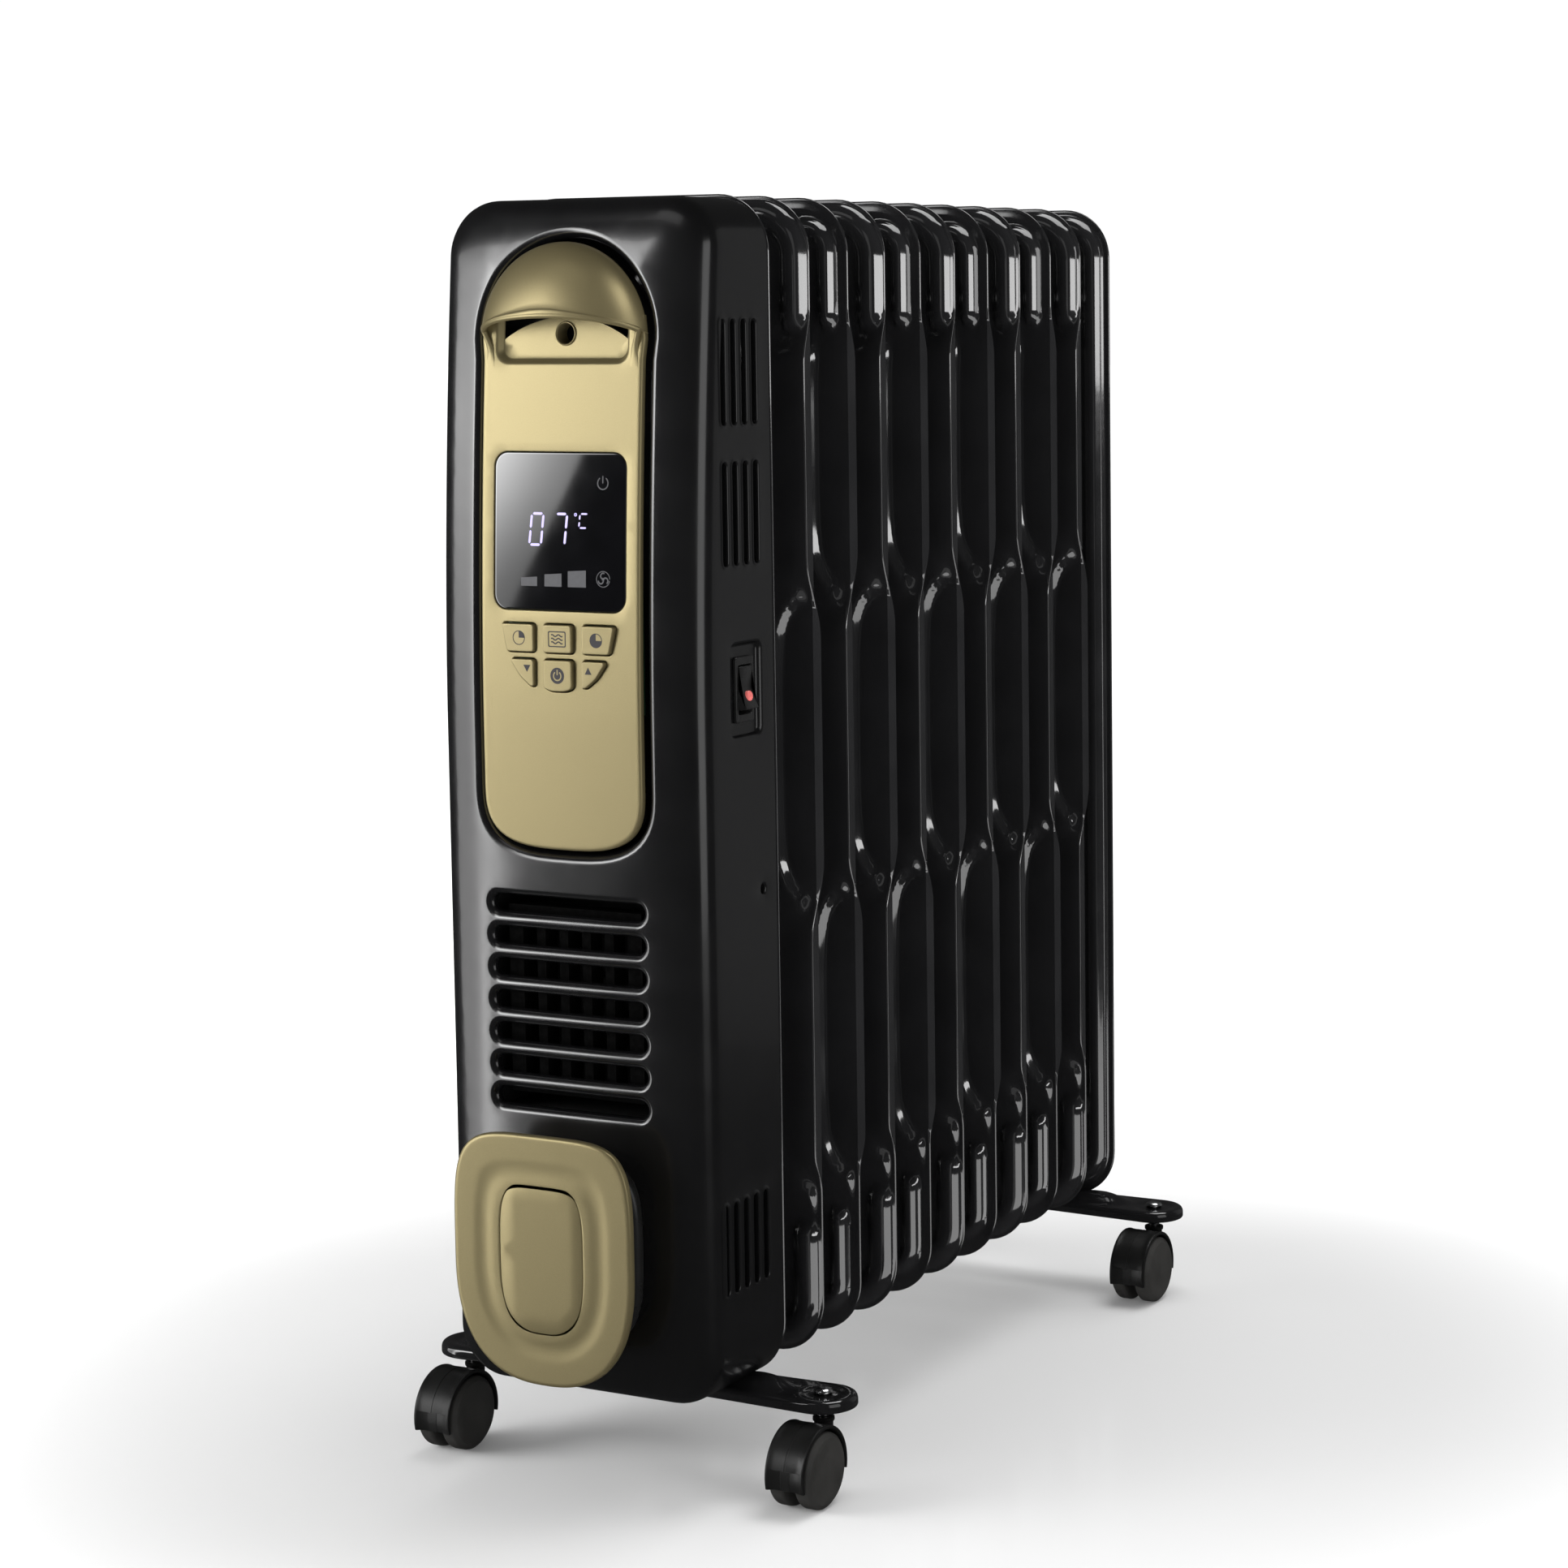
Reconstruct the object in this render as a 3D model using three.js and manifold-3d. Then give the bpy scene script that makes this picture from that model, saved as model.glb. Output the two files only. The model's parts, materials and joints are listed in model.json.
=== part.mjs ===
// Oil filled column radiator with a fan heater in its front housing, on four twin-wheel castors.
// Millimetres. +Z is up and the floor is z = 0. The front faces -Y, and X = 0 is the plane of symmetry.
import * as THREE from 'three';
import { mergeVertices } from 'three/addons/utils/BufferGeometryUtils.js';
import Module from 'manifold-3d';

const wasm = await Module();
wasm.setup();

// ---------- driving dimensions ----------

const GAP = 0.35;                 // clearance between pieces that touch on the real heater

const FIN_WIDTH = 150;
const FIN_HEIGHT = 580;
const FIN_PITCH = 38.4;
const WAVY_FINS = 9;
const FIN_CORNER = 28;
const FIN_BOTTOM = 51.5;          // height of the fins above the floor
const FIN_TOP = FIN_BOTTOM + FIN_HEIGHT;
const FIRST_FIN_Y = -108.6;
const FRONT_END_Y = -147;
const REAR_END_Y = FIRST_FIN_Y + (WAVY_FINS - 1) * FIN_PITCH + FIN_PITCH;
const HALF_WIDTH = FIN_WIDTH / 2;

const COVER_BACK_Y = -149.3;
const COVER_FRONT_Y = -221;       // the housing's front at mid height
const COVER_BOTTOM = FIN_BOTTOM + 0.5;
const COVER_TOP = FIN_TOP - 2;
const COVER_CORNER = 25;
const COVER_WALL = 1.6;
const BEND_START = 381.5;         // above this height the front leans back
const BEND_SPAN = 230;
const BEND_DEPTH = 12.5;

const PANEL_Y = COVER_FRONT_Y - 0.5;
const PANEL_THICK = 2.5;
const PANEL_HALF = 45;
const PANEL_BOTTOM = 320;
const DOME_Z = 563;               // centre of the round top of the control panel
const DOME_RADIUS = 46;
const DOME_DEPTH = 22;

const PLATE_FRONT_Y = -247.5;
const PLATE_Z = 125.8;
const PLATE_HALF = 50.5;
const PLATE_HALF_HEIGHT = 60.7;

const HEADER_RADIUS = 19;
const HEADER_BORE = 13;
const LOWER_HEADER_Z = FIN_BOTTOM + 40;
const UPPER_HEADER_Z = FIN_TOP - 62;

const STUD_X = 103;
const FRONT_FOOT_Y = -159.5;
const REAR_FOOT_Y = 230.5;
const FOOT_END_RADIUS = 17;
const FOOT_TOP = FIN_BOTTOM - 0.4;
const FOOT_BOTTOM = 45.1;
const FOOT_WALL = 1.5;

const WHEEL_RADIUS = 18.7;
const WHEEL_INNER = 3.2;          // inner face of a wheel, from the castor's middle
const WHEEL_OUTER = 12.2;
const CASTOR_TRAIL = 17.5;        // the axle stands this far in front of the swivel stem
const STEM_RADIUS = 3.1;

// ---------- small helpers ----------

const toSolid = (geometry) => {
  const plain = geometry.index ? geometry.toNonIndexed() : geometry.clone();
  for (const name of Object.keys(plain.attributes)) if (name !== 'position') plain.deleteAttribute(name);
  const merged = mergeVertices(plain, 1e-4);
  return new wasm.Manifold(new wasm.Mesh({
    numProp: 3,
    vertProperties: new Float32Array(merged.attributes.position.array),
    triVerts: new Uint32Array(merged.index.array),
  }));
};

const toGeometry = (solid) => {
  const mesh = solid.getMesh();
  const geometry = new THREE.BufferGeometry();
  geometry.setAttribute('position', new THREE.BufferAttribute(new Float32Array(mesh.vertProperties), 3));
  geometry.setIndex(new THREE.BufferAttribute(new Uint32Array(mesh.triVerts), 1));
  geometry.computeVertexNormals();
  return geometry;
};

const join = (...solids) => solids.reduce((sum, next) => sum.add(next));
const cut = (solid, ...tools) => tools.reduce((rest, tool) => rest.subtract(tool), solid);

const box = (x0, x1, y0, y1, z0, z1) => {
  const geometry = new THREE.BoxGeometry(x1 - x0, y1 - y0, z1 - z0);
  return toSolid(geometry.translate((x0 + x1) / 2, (y0 + y1) / 2, (z0 + z1) / 2));
};

const shapeFrom = (points) => new THREE.Shape(points.map(([a, b]) => new THREE.Vector2(a, b)));

// An outline drawn in X and Z, given thickness along Y.
const prismY = (points, y0, y1) => {
  const geometry = new THREE.ExtrudeGeometry(shapeFrom(points), { depth: y1 - y0, bevelEnabled: false });
  return toSolid(geometry.rotateX(Math.PI / 2).translate(0, y1, 0));
};

// An outline drawn in Y and Z, given thickness along X.
const prismX = (points, x0, x1) => {
  const geometry = new THREE.ExtrudeGeometry(shapeFrom(points), { depth: x1 - x0, bevelEnabled: false });
  const axes = new THREE.Matrix4().makeBasis(
    new THREE.Vector3(0, 1, 0), new THREE.Vector3(0, 0, 1), new THREE.Vector3(1, 0, 0));
  return toSolid(geometry.applyMatrix4(axes).translate(x0, 0, 0));
};

// An outline drawn in X and Y, given thickness along Z.
const prismZ = (points, z0, z1) => {
  const geometry = new THREE.ExtrudeGeometry(shapeFrom(points), { depth: z1 - z0, bevelEnabled: false });
  return toSolid(geometry.translate(0, 0, z0));
};

const arc = (cx, cy, radius, from, to, steps) => Array.from({ length: steps + 1 }, (_, i) => {
  const angle = THREE.MathUtils.degToRad(from + (to - from) * i / steps);
  return [cx + radius * Math.cos(angle), cy + radius * Math.sin(angle)];
});

const capsule = (cx, cy, halfLength, radius, vertical) => {
  const reach = halfLength - radius;
  if (vertical) {
    return [...arc(cx, cy + reach, radius, 0, 180, 3), ...arc(cx, cy - reach, radius, 180, 360, 3)];
  }
  return [...arc(cx + reach, cy, radius, -90, 90, 4), ...arc(cx - reach, cy, radius, 90, 270, 4)];
};

const roundedRect = (x0, x1, y0, y1, radius, steps = 4) => [
  ...arc(x1 - radius, y0 + radius, radius, -90, 0, steps),
  ...arc(x1 - radius, y1 - radius, radius, 0, 90, steps),
  ...arc(x0 + radius, y1 - radius, radius, 90, 180, steps),
  ...arc(x0 + radius, y0 + radius, radius, 180, 270, steps),
];

// A superellipse whose upper and lower halves may have different squareness.
const superOutline = (half, halfHeight, cz, upperPower, lowerPower, steps) =>
  Array.from({ length: steps }, (_, i) => {
    const angle = 2 * Math.PI * (i + 0.5) / steps;
    const power = 2 / (Math.sin(angle) > 0 ? upperPower : lowerPower);
    const x = Math.sign(Math.cos(angle)) * Math.abs(Math.cos(angle)) ** power;
    const z = Math.sign(Math.sin(angle)) * Math.abs(Math.sin(angle)) ** power;
    return [half * x, cz + halfHeight * z];
  });

// A round piece: profile pairs are radius and height, turned about Z, then laid along an axis.
const turned = (profile, segments = 20) => {
  const points = profile.map(([radius, height]) => new THREE.Vector2(radius, height));
  return new THREE.LatheGeometry(points, segments).rotateX(Math.PI / 2);
};
const alongX = (geometry) => toSolid(geometry.rotateY(Math.PI / 2));
const alongY = (geometry) => toSolid(geometry.rotateX(-Math.PI / 2));
const rod = (radius, from, to, segments = 20) =>
  turned([[0, from], [radius, from], [radius, to], [0, to]], segments);

// Closed surface through rings of points, all with the same count. The first and last rings are
// each capped by a ladder between their right and left halves.
const loftRings = (rings) => {
  const count = rings[0].length;
  const positions = rings.flat(2);
  const faces = [];
  for (let r = 0; r + 1 < rings.length; r += 1) {
    for (let i = 0; i < count; i += 1) {
      const a = r * count + i;
      const b = r * count + (i + 1) % count;
      faces.push(a, b, b + count, a, b + count, a + count);
    }
  }
  const ladder = (base, flip) => {
    for (let i = 0; i < count / 2 - 1; i += 1) {
      const quad = [base + i, base + i + 1, base + count - 2 - i, base + count - 1 - i];
      const tris = [quad[0], quad[1], quad[2], quad[0], quad[2], quad[3]];
      faces.push(...(flip ? tris.reverse() : tris));
    }
  };
  ladder((rings.length - 1) * count, false);
  ladder(0, true);
  const geometry = new THREE.BufferGeometry();
  geometry.setAttribute('position', new THREE.BufferAttribute(new Float32Array(positions), 3));
  geometry.setIndex(faces);
  return toSolid(geometry);
};

// ---------- materials ----------

const finish = (color, roughness, metalness) =>
  new THREE.MeshStandardMaterial({ color, roughness, metalness });
const blackEnamel = finish(0x0b0b0c, 0.18, 0.1);
const gold = finish(0xb9a877, 0.38, 0.6);
const blackPlastic = finish(0x1c1c1b, 0.45, 0);
const displayGlass = finish(0x08080a, 0.05, 0.1);
const polishedSteel = finish(0xc8c8c8, 0.2, 1);
const blackAluminium = finish(0x2c2c2d, 0.5, 0.8);
const greyPlastic = finish(0x8c8c88, 0.6, 0);
const circuitBoard = finish(0x1f4a2c, 0.5, 0);
const redLens = finish(0xb3261e, 0.25, 0);

const heater = new THREE.Group();
const add = (name, solid, material) => {
  const mesh = new THREE.Mesh(toGeometry(solid), material);
  mesh.name = name;
  heater.add(mesh);
};

// ---------- fins: each is two pressed plates welded round the edge ----------

// Insets from the outline where the section changes: weld flange, oil channel, flat web.
const FIN_INSETS = [0, 3.2, 9.5, FIN_CORNER];
const FIN_HALF_THICK = [0.7, 0.7, 5.2, 2];

// The edge swings to and fro along its height. Each entry is a height and the swing there.
const WAVE_SWING = 6;
const WAVE = [[84, 0], [103, 1], [215, 1], [248, -1], [365, -1], [402, 1], [500, 1], [525, 0]];

const ends = FIN_INSETS.map((inset) => [inset, 0]);
const tops = FIN_INSETS.map((inset) => [FIN_HEIGHT - inset, 0]).reverse();
const FIN_COLUMNS = [
  ...FIN_INSETS.map((inset) => [inset, -1]),
  ...FIN_INSETS.map((inset) => [inset, 1]).reverse(),
];

// Where a grid point lies once the outline's corners are rounded, and how far inside it is.
const onFin = (inset, side, height) => {
  const fromEnd = Math.min(height, FIN_HEIGHT - height);
  const upper = height > FIN_HEIGHT / 2;
  const ring = Math.min(inset, fromEnd);
  if (inset >= FIN_CORNER || fromEnd >= FIN_CORNER) {
    return { x: side * (HALF_WIDTH - inset), z: FIN_BOTTOM + height, ring };
  }
  const share = (FIN_CORNER - Math.max(inset, fromEnd)) / (FIN_CORNER - ring);
  const degrees = inset <= fromEnd ? 45 * share : 90 - 45 * share;
  const angle = THREE.MathUtils.degToRad(degrees);
  const radius = FIN_CORNER - ring;
  const rise = FIN_CORNER - radius * Math.sin(angle);
  return {
    x: side * (HALF_WIDTH - FIN_CORNER + radius * Math.cos(angle)),
    z: upper ? FIN_TOP - rise : FIN_BOTTOM + rise,
    ring,
  };
};

const finPlate = (y, swing) => {
  const rows = [...ends, ...(swing ? WAVE : []), ...tops];
  const positions = [];
  for (const face of [-1, 1]) {
    for (const [height, share] of rows) {
      for (const [inset, side] of FIN_COLUMNS) {
        const place = onFin(inset, side, height);
        const thick = FIN_HALF_THICK[FIN_INSETS.indexOf(place.ring)] ?? FIN_HALF_THICK.at(-1);
        const lean = share * swing * WAVE_SWING * (1 - inset / FIN_CORNER);
        positions.push(place.x, y + lean + face * thick, place.z);
      }
    }
  }
  const wide = FIN_COLUMNS.length;
  const high = rows.length;
  const back = wide * high;
  const faces = [];
  const quad = (a, b, c, d) => faces.push(a, b, c, a, c, d);
  for (let row = 0; row + 1 < high; row += 1) {
    for (let column = 0; column + 1 < wide; column += 1) {
      const a = row * wide + column;
      quad(a, a + 1, a + wide + 1, a + wide);
      quad(back + a, back + a + wide, back + a + wide + 1, back + a + 1);
    }
    const left = row * wide;
    const right = left + wide - 1;
    quad(left, left + wide, back + left + wide, back + left);
    quad(right, back + right, back + right + wide, right + wide);
  }
  for (let column = 0; column + 1 < wide; column += 1) {
    const top = (high - 1) * wide + column;
    quad(column, back + column, back + column + 1, column + 1);
    quad(top, top + 1, back + top + 1, back + top);
  }
  const geometry = new THREE.BufferGeometry();
  geometry.setAttribute('position', new THREE.BufferAttribute(new Float32Array(positions), 3));
  geometry.setIndex(faces);
  return toSolid(geometry);
};

// Pressed collars carry the oil from fin to fin, so each fin reaches half way to its neighbours.
const HALF_PITCH = FIN_PITCH / 2 - GAP / 2;
const header = (z, y0, y1) => alongY(rod(HEADER_RADIUS, y0, y1, 10)).translate(0, 0, z);
const headerBore = (z, y0, y1) => alongY(rod(HEADER_BORE, y0, y1, 10)).translate(0, 0, z);

for (let i = 0; i < WAVY_FINS; i += 1) {
  const y = FIRST_FIN_Y + i * FIN_PITCH;
  const collars = [LOWER_HEADER_Z, UPPER_HEADER_Z].map((z) => header(z, y - HALF_PITCH, y + HALF_PITCH));
  const bores = [LOWER_HEADER_Z, UPPER_HEADER_Z].map((z) => headerBore(z, y - FIN_PITCH, y + FIN_PITCH));
  add(`fin_${i + 1}`, cut(join(finPlate(y, i % 2 ? 1 : -1), ...collars), ...bores), blackEnamel);
}

// The end fins have straight edges. The front one opens into the housing for the heating element.
const ELEMENT_SEAT_Y = FRONT_END_Y - 25;
add('front_end_fin', cut(
  join(
    finPlate(FRONT_END_Y, 0),
    header(LOWER_HEADER_Z, ELEMENT_SEAT_Y, FRONT_END_Y + HALF_PITCH),
    header(UPPER_HEADER_Z, FRONT_END_Y, FRONT_END_Y + HALF_PITCH),
  ),
  headerBore(LOWER_HEADER_Z, ELEMENT_SEAT_Y - 10, FRONT_END_Y + FIN_PITCH),
  headerBore(UPPER_HEADER_Z, FRONT_END_Y + 1, FRONT_END_Y + FIN_PITCH),
), blackEnamel);
add('rear_end_fin', cut(
  join(
    finPlate(REAR_END_Y, 0),
    ...[LOWER_HEADER_Z, UPPER_HEADER_Z].map((z) => header(z, REAR_END_Y - HALF_PITCH, REAR_END_Y)),
  ),
  ...[LOWER_HEADER_Z, UPPER_HEADER_Z].map((z) => headerBore(z, REAR_END_Y - FIN_PITCH, REAR_END_Y - 1)),
), blackEnamel);

// Hairpin heating element in the lower oil channel, screwed into the front end fin.
const elementRod = 3.5;
const elementSpread = 6.5;
const elementStart = ELEMENT_SEAT_Y - 3;
const elementEnd = REAR_END_Y - 30;
const hairpin = new THREE.CurvePath();
const elementPoint = (x, y) => new THREE.Vector3(x, y, LOWER_HEADER_Z);
const leftEnd = elementPoint(-elementSpread, elementEnd);
const rightEnd = elementPoint(elementSpread, elementEnd);
hairpin.add(new THREE.LineCurve3(elementPoint(-elementSpread, elementStart), leftEnd));
hairpin.add(new THREE.QuadraticBezierCurve3(leftEnd, elementPoint(0, elementEnd + 12), rightEnd));
hairpin.add(new THREE.LineCurve3(rightEnd, elementPoint(elementSpread, elementStart)));
const rodSection = new THREE.Shape().absarc(0, 0, elementRod, 0, 2 * Math.PI);
const elementTube = toSolid(new THREE.ExtrudeGeometry(rodSection, {
  steps: 24, curveSegments: 3, extrudePath: hairpin, bevelEnabled: false,
}));
const elementFlange = alongY(rod(HEADER_RADIUS, ELEMENT_SEAT_Y - 6, ELEMENT_SEAT_Y - GAP))
  .translate(0, 0, LOWER_HEADER_Z);
add('heating_element', join(elementTube, elementFlange), polishedSteel);

const CUTOUT = { z: 330, radius: 9, thickness: 12 };
const cutoutBack = FRONT_END_Y - FIN_HALF_THICK.at(-1) - GAP;
add('thermal_cutout', alongY(rod(CUTOUT.radius, cutoutBack - CUTOUT.thickness, cutoutBack))
  .translate(0, 0, CUTOUT.z), greyPlastic);

// ---------- front housing: one pressed steel cover, open at the back ----------

// How far the front leans back at a height, and how it rounds over towards its edges.
const leanBack = (z) => BEND_DEPTH * (Math.max(0, z - BEND_START) / BEND_SPAN) ** 1.7;
const ROUND_POWER = 3.5;
const ROUND_DEPTH = 20;
const ROUND_STEPS = [0, 8, 24, 46, 76];

const coverRing = (wall, inset, y, followFront) => {
  const x = HALF_WIDTH - wall - inset;
  const bottom = COVER_BOTTOM + wall + inset;
  const top = COVER_TOP - wall - inset;
  const radius = Math.max(6, COVER_CORNER - wall - inset * 0.6);
  const side = Array.from({ length: 7 }, (_, i) => {
    const from = bottom + radius;
    const to = top - radius;
    return [x, i < 2 ? from + (BEND_START - from) * i / 2 : BEND_START + (to - BEND_START) * (i - 1) / 6];
  });
  const right = [
    ...arc(x - radius, bottom + radius, radius, -90, 0, 4).slice(0, -1),
    ...side,
    ...arc(x - radius, top - radius, radius, 0, 90, 4),
  ];
  const left = right.map(([px, pz]) => [-px, pz]).reverse();
  return [...right, ...left].map(([px, pz]) => [px, y + (followFront ? leanBack(pz) : 0), pz]);
};

const coverBody = (wall, backY) => {
  const rings = [coverRing(wall, 0, backY, false)];
  for (const degrees of ROUND_STEPS) {
    const angle = THREE.MathUtils.degToRad(degrees);
    const inset = HALF_WIDTH * (1 - Math.cos(angle) ** (2 / ROUND_POWER));
    const sag = ROUND_DEPTH * (1 - Math.sin(angle) ** (2 / ROUND_POWER));
    rings.push(coverRing(wall, inset, COVER_FRONT_Y + wall + sag, true));
  }
  return loftRings(rings);
};

// Half width of the control panel at a height: square lower corners, half-round top.
const PANEL_CORNER_HEIGHT = 31.5;
const PANEL_CORNER_POWER = 3.1;
const panelHalf = (z, grow = 0) => {
  const bottom = PANEL_BOTTOM - grow;
  const cornerTop = PANEL_BOTTOM + PANEL_CORNER_HEIGHT;
  const half = PANEL_HALF + grow;
  if (z < cornerTop) {
    const drop = (cornerTop - z) / (cornerTop - bottom);
    return half * (1 - drop ** PANEL_CORNER_POWER) ** (1 / PANEL_CORNER_POWER);
  }
  const domeRadius = DOME_RADIUS + grow;
  if (z < DOME_Z - 10) return half;
  if (z < DOME_Z) return half + (domeRadius - half) * (z - DOME_Z + 10) / 10;
  return Math.sqrt(Math.max(0, domeRadius ** 2 - (z - DOME_Z) ** 2));
};
const panelHeights = (grow = 0) => [
  ...[0.4, 2, 5, 10, 18, PANEL_CORNER_HEIGHT].map((rise) => PANEL_BOTTOM - grow + rise),
  BEND_START, 420, 460, 500, 530, DOME_Z - 10, DOME_Z,
  ...[15, 30, 45, 60, 75, 86].map((degrees) =>
    DOME_Z + (DOME_RADIUS + grow) * Math.sin(THREE.MathUtils.degToRad(degrees))),
];
const panelOutline = (grow) => {
  const right = panelHeights(grow).map((z) => [panelHalf(z, grow), z]);
  return [...right, ...right.map(([x, z]) => [-x, z]).reverse()];
};

const SLOT_COUNT = 7;
const SLOT_PITCH = 15.8;
const SLOT_TOP_Z = 292;
const louvres = Array.from({ length: SLOT_COUNT }, (_, i) =>
  prismY(capsule(0, SLOT_TOP_Z - i * SLOT_PITCH, 43, 4.2, false), COVER_FRONT_Y - 5, COVER_FRONT_Y + 12));

// Groups of upright slots in both side walls: count, first Y, pitch, middle height, half length.
const SIDE_VENTS = [
  [4, -191.5, 9.45, 546.8, 24.8],
  [4, -191.5, 9.45, 480, 24.5],
  [5, -200.9, 9.2, 128, 22],
];
const sideVents = SIDE_VENTS.flatMap(([count, firstY, pitch, z, half]) =>
  Array.from({ length: count }, (_, i) =>
    prismX(capsule(firstY + i * pitch, z, half, 1.8, true), -HALF_WIDTH - 5, HALF_WIDTH + 5)));

// The main switch sits in a pressed recess in the right side wall.
const ROCKER_Y = -174.5;
const ROCKER_Z = 395.7;
const RECESS = { halfY: 13, halfZ: 22, depth: 2.5, corner: 3 };
const RECESS_FLOOR_X = HALF_WIDTH - RECESS.depth;
const SWITCH_BODY = { halfY: 7.2, halfZ: 14.2 };
const aroundRocker = (halfY, halfZ, corner, x0, x1) => prismX(
  roundedRect(ROCKER_Y - halfY, ROCKER_Y + halfY, ROCKER_Z - halfZ, ROCKER_Z + halfZ, corner), x0, x1);
const recessTray = aroundRocker(
  RECESS.halfY + COVER_WALL, RECESS.halfZ + COVER_WALL, RECESS.corner,
  RECESS_FLOOR_X - COVER_WALL, HALF_WIDTH - 0.5);
const recessSpace = aroundRocker(RECESS.halfY, RECESS.halfZ, RECESS.corner, RECESS_FLOOR_X, HALF_WIDTH + 5);
const switchHole = aroundRocker(
  SWITCH_BODY.halfY + GAP, SWITCH_BODY.halfZ + GAP, 1, RECESS_FLOOR_X - 10, HALF_WIDTH + 5);

const GLAND = { x: -40, y: -188, radius: 6 };
const screwHole = alongX(rod(1.8, HALF_WIDTH - 5, HALF_WIDTH + 5, 10)).translate(0, -161.5, 297.5);

const coverShell = cut(coverBody(0, COVER_BACK_Y), coverBody(COVER_WALL, COVER_BACK_Y + 5));
add('front_cover', cut(
  join(coverShell, recessTray),
  prismY(panelOutline(GAP), COVER_FRONT_Y - 10, COVER_FRONT_Y + 30),
  ...louvres,
  ...sideVents,
  recessSpace,
  switchHole,
  screwHole,
  toSolid(rod(GLAND.radius + GAP, COVER_BOTTOM - 5, COVER_BOTTOM + 5)).translate(GLAND.x, GLAND.y, 0),
  box(-32, 32, FRONT_FOOT_Y - 7, COVER_BACK_Y + 5, COVER_BOTTOM - 5, COVER_BOTTOM + 5),
), blackEnamel);

// ---------- control panel with a hood over a finger pocket ----------

const panelPlate = (() => {
  const ring = (y) => panelOutline(0).map(([x, z]) => [x, y + leanBack(z), z]);
  return loftRings([ring(PANEL_Y + PANEL_THICK), ring(PANEL_Y)]);
})();

// The hood is part of an ellipsoid shell. Its rim rises towards the front.
const HOOD_WALL = 2.2;
const HOOD_Y = PANEL_Y + leanBack(DOME_Z);
const ellipsoid = (grow, squash) => {
  const ball = new THREE.SphereGeometry(1, 18, 12);
  ball.scale(DOME_RADIUS + grow, DOME_DEPTH + squash, DOME_RADIUS + grow);
  return toSolid(ball.translate(0, HOOD_Y + 3, DOME_Z));
};
const RIM_SIDE_Z = 566.5;
const RIM_FRONT_Z = 576;
const aboveRim = prismX([
  [HOOD_Y + 40, RIM_SIDE_Z - 10], [HOOD_Y + 40, 650], [HOOD_Y - 40, 650], [HOOD_Y - 40, RIM_FRONT_Z + 8],
  [HOOD_Y, RIM_SIDE_Z],
], -70, 70);
const hoodShell = cut(ellipsoid(-0.2, 0), ellipsoid(-HOOD_WALL, -HOOD_WALL)).intersect(aboveRim)
  .intersect(box(-70, 70, HOOD_Y - 60, HOOD_Y + 3, RIM_SIDE_Z - 10, 650));

// The pocket is a shallow D with a deep slot above it for the fingers.
const POCKET_BOTTOM = 550.8;
const POCKET_ARCH_Z = 573;
const POCKET_BACK_Y = HOOD_Y + 16;
const dOutline = (half, bottom, topSide, topMiddle) => {
  const sag = topMiddle - topSide;
  const radius = (half ** 2 + sag ** 2) / (2 * sag);
  const spread = THREE.MathUtils.radToDeg(Math.asin(half / radius));
  return [
    ...arc(-half + 6, bottom + 6, 6, 180, 270, 3),
    ...arc(half - 6, bottom + 6, 6, -90, 0, 3),
    ...arc(0, topMiddle - radius, radius, 90 - spread, 90 + spread, 8),
  ];
};
const tubOutline = (half, bottom) => [...arc(0, DOME_Z, half, 0, 180, 12), [-half, bottom], [half, bottom]];
const tub = prismY(tubOutline(42, POCKET_BOTTOM - 4.8), HOOD_Y + 1, POCKET_BACK_Y);
const tubSpace = prismY(tubOutline(40, POCKET_BOTTOM - 2.8), HOOD_Y - 40, POCKET_BACK_Y - 2);
const dWall = cut(
  prismY(dOutline(40.5, POCKET_BOTTOM - 3, 566, POCKET_ARCH_Z), HOOD_Y + 0.5, HOOD_Y + 5.5),
  prismY(dOutline(35, POCKET_BOTTOM, 566, POCKET_ARCH_Z + 7), HOOD_Y - 10, HOOD_Y + 3.5),
  alongY(rod(4.8, HOOD_Y - 5, HOOD_Y + 20, 16)).translate(0, 0, 565.6),
);
const pocketMouth = prismY(dOutline(37, POCKET_BOTTOM, 566, 584), HOOD_Y - 10, HOOD_Y + 3.5);
const domeSpace = ellipsoid(-HOOD_WALL, -HOOD_WALL)
  .intersect(box(-70, 70, HOOD_Y - 60, HOOD_Y + 4, RIM_SIDE_Z - 2, 650));

const DISPLAY = { half: 37.1, bottom: 434.8, top: 509.6, corner: 7 };
const displayOutline = (grow) => roundedRect(
  -DISPLAY.half - grow, DISPLAY.half + grow, DISPLAY.bottom - grow, DISPLAY.top + grow, DISPLAY.corner);
const displayOpening = prismY(displayOutline(GAP), PANEL_Y - 10, PANEL_Y + 20);

// Key outlines in X and Z, for the right half of the panel. The left half mirrors them.
const KEY_ROW_1 = { bottom: 414.8, top: 428 };
const KEY_ROW_2 = { bottom: 398.5, top: 411.2 };
const mirror = (points) => points.map(([x, z]) => [-x, z]).reverse();
const middleKey = (bottom, top, crown) => [
  [-8, bottom], [-4, bottom - crown], [4, bottom - crown], [8, bottom], [8, top], [-8, top],
];
const outerKey = [
  [13.8, KEY_ROW_1.bottom], [29, KEY_ROW_1.bottom], [32, KEY_ROW_1.top], [13.8, KEY_ROW_1.top],
];
const cornerKey = [
  [13.8, KEY_ROW_2.bottom], [15.6, KEY_ROW_2.bottom], [21.5, KEY_ROW_2.bottom + 4.5],
  [26.3, KEY_ROW_2.top - 1.5], [26, KEY_ROW_2.top], [13.8, KEY_ROW_2.top],
];
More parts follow.
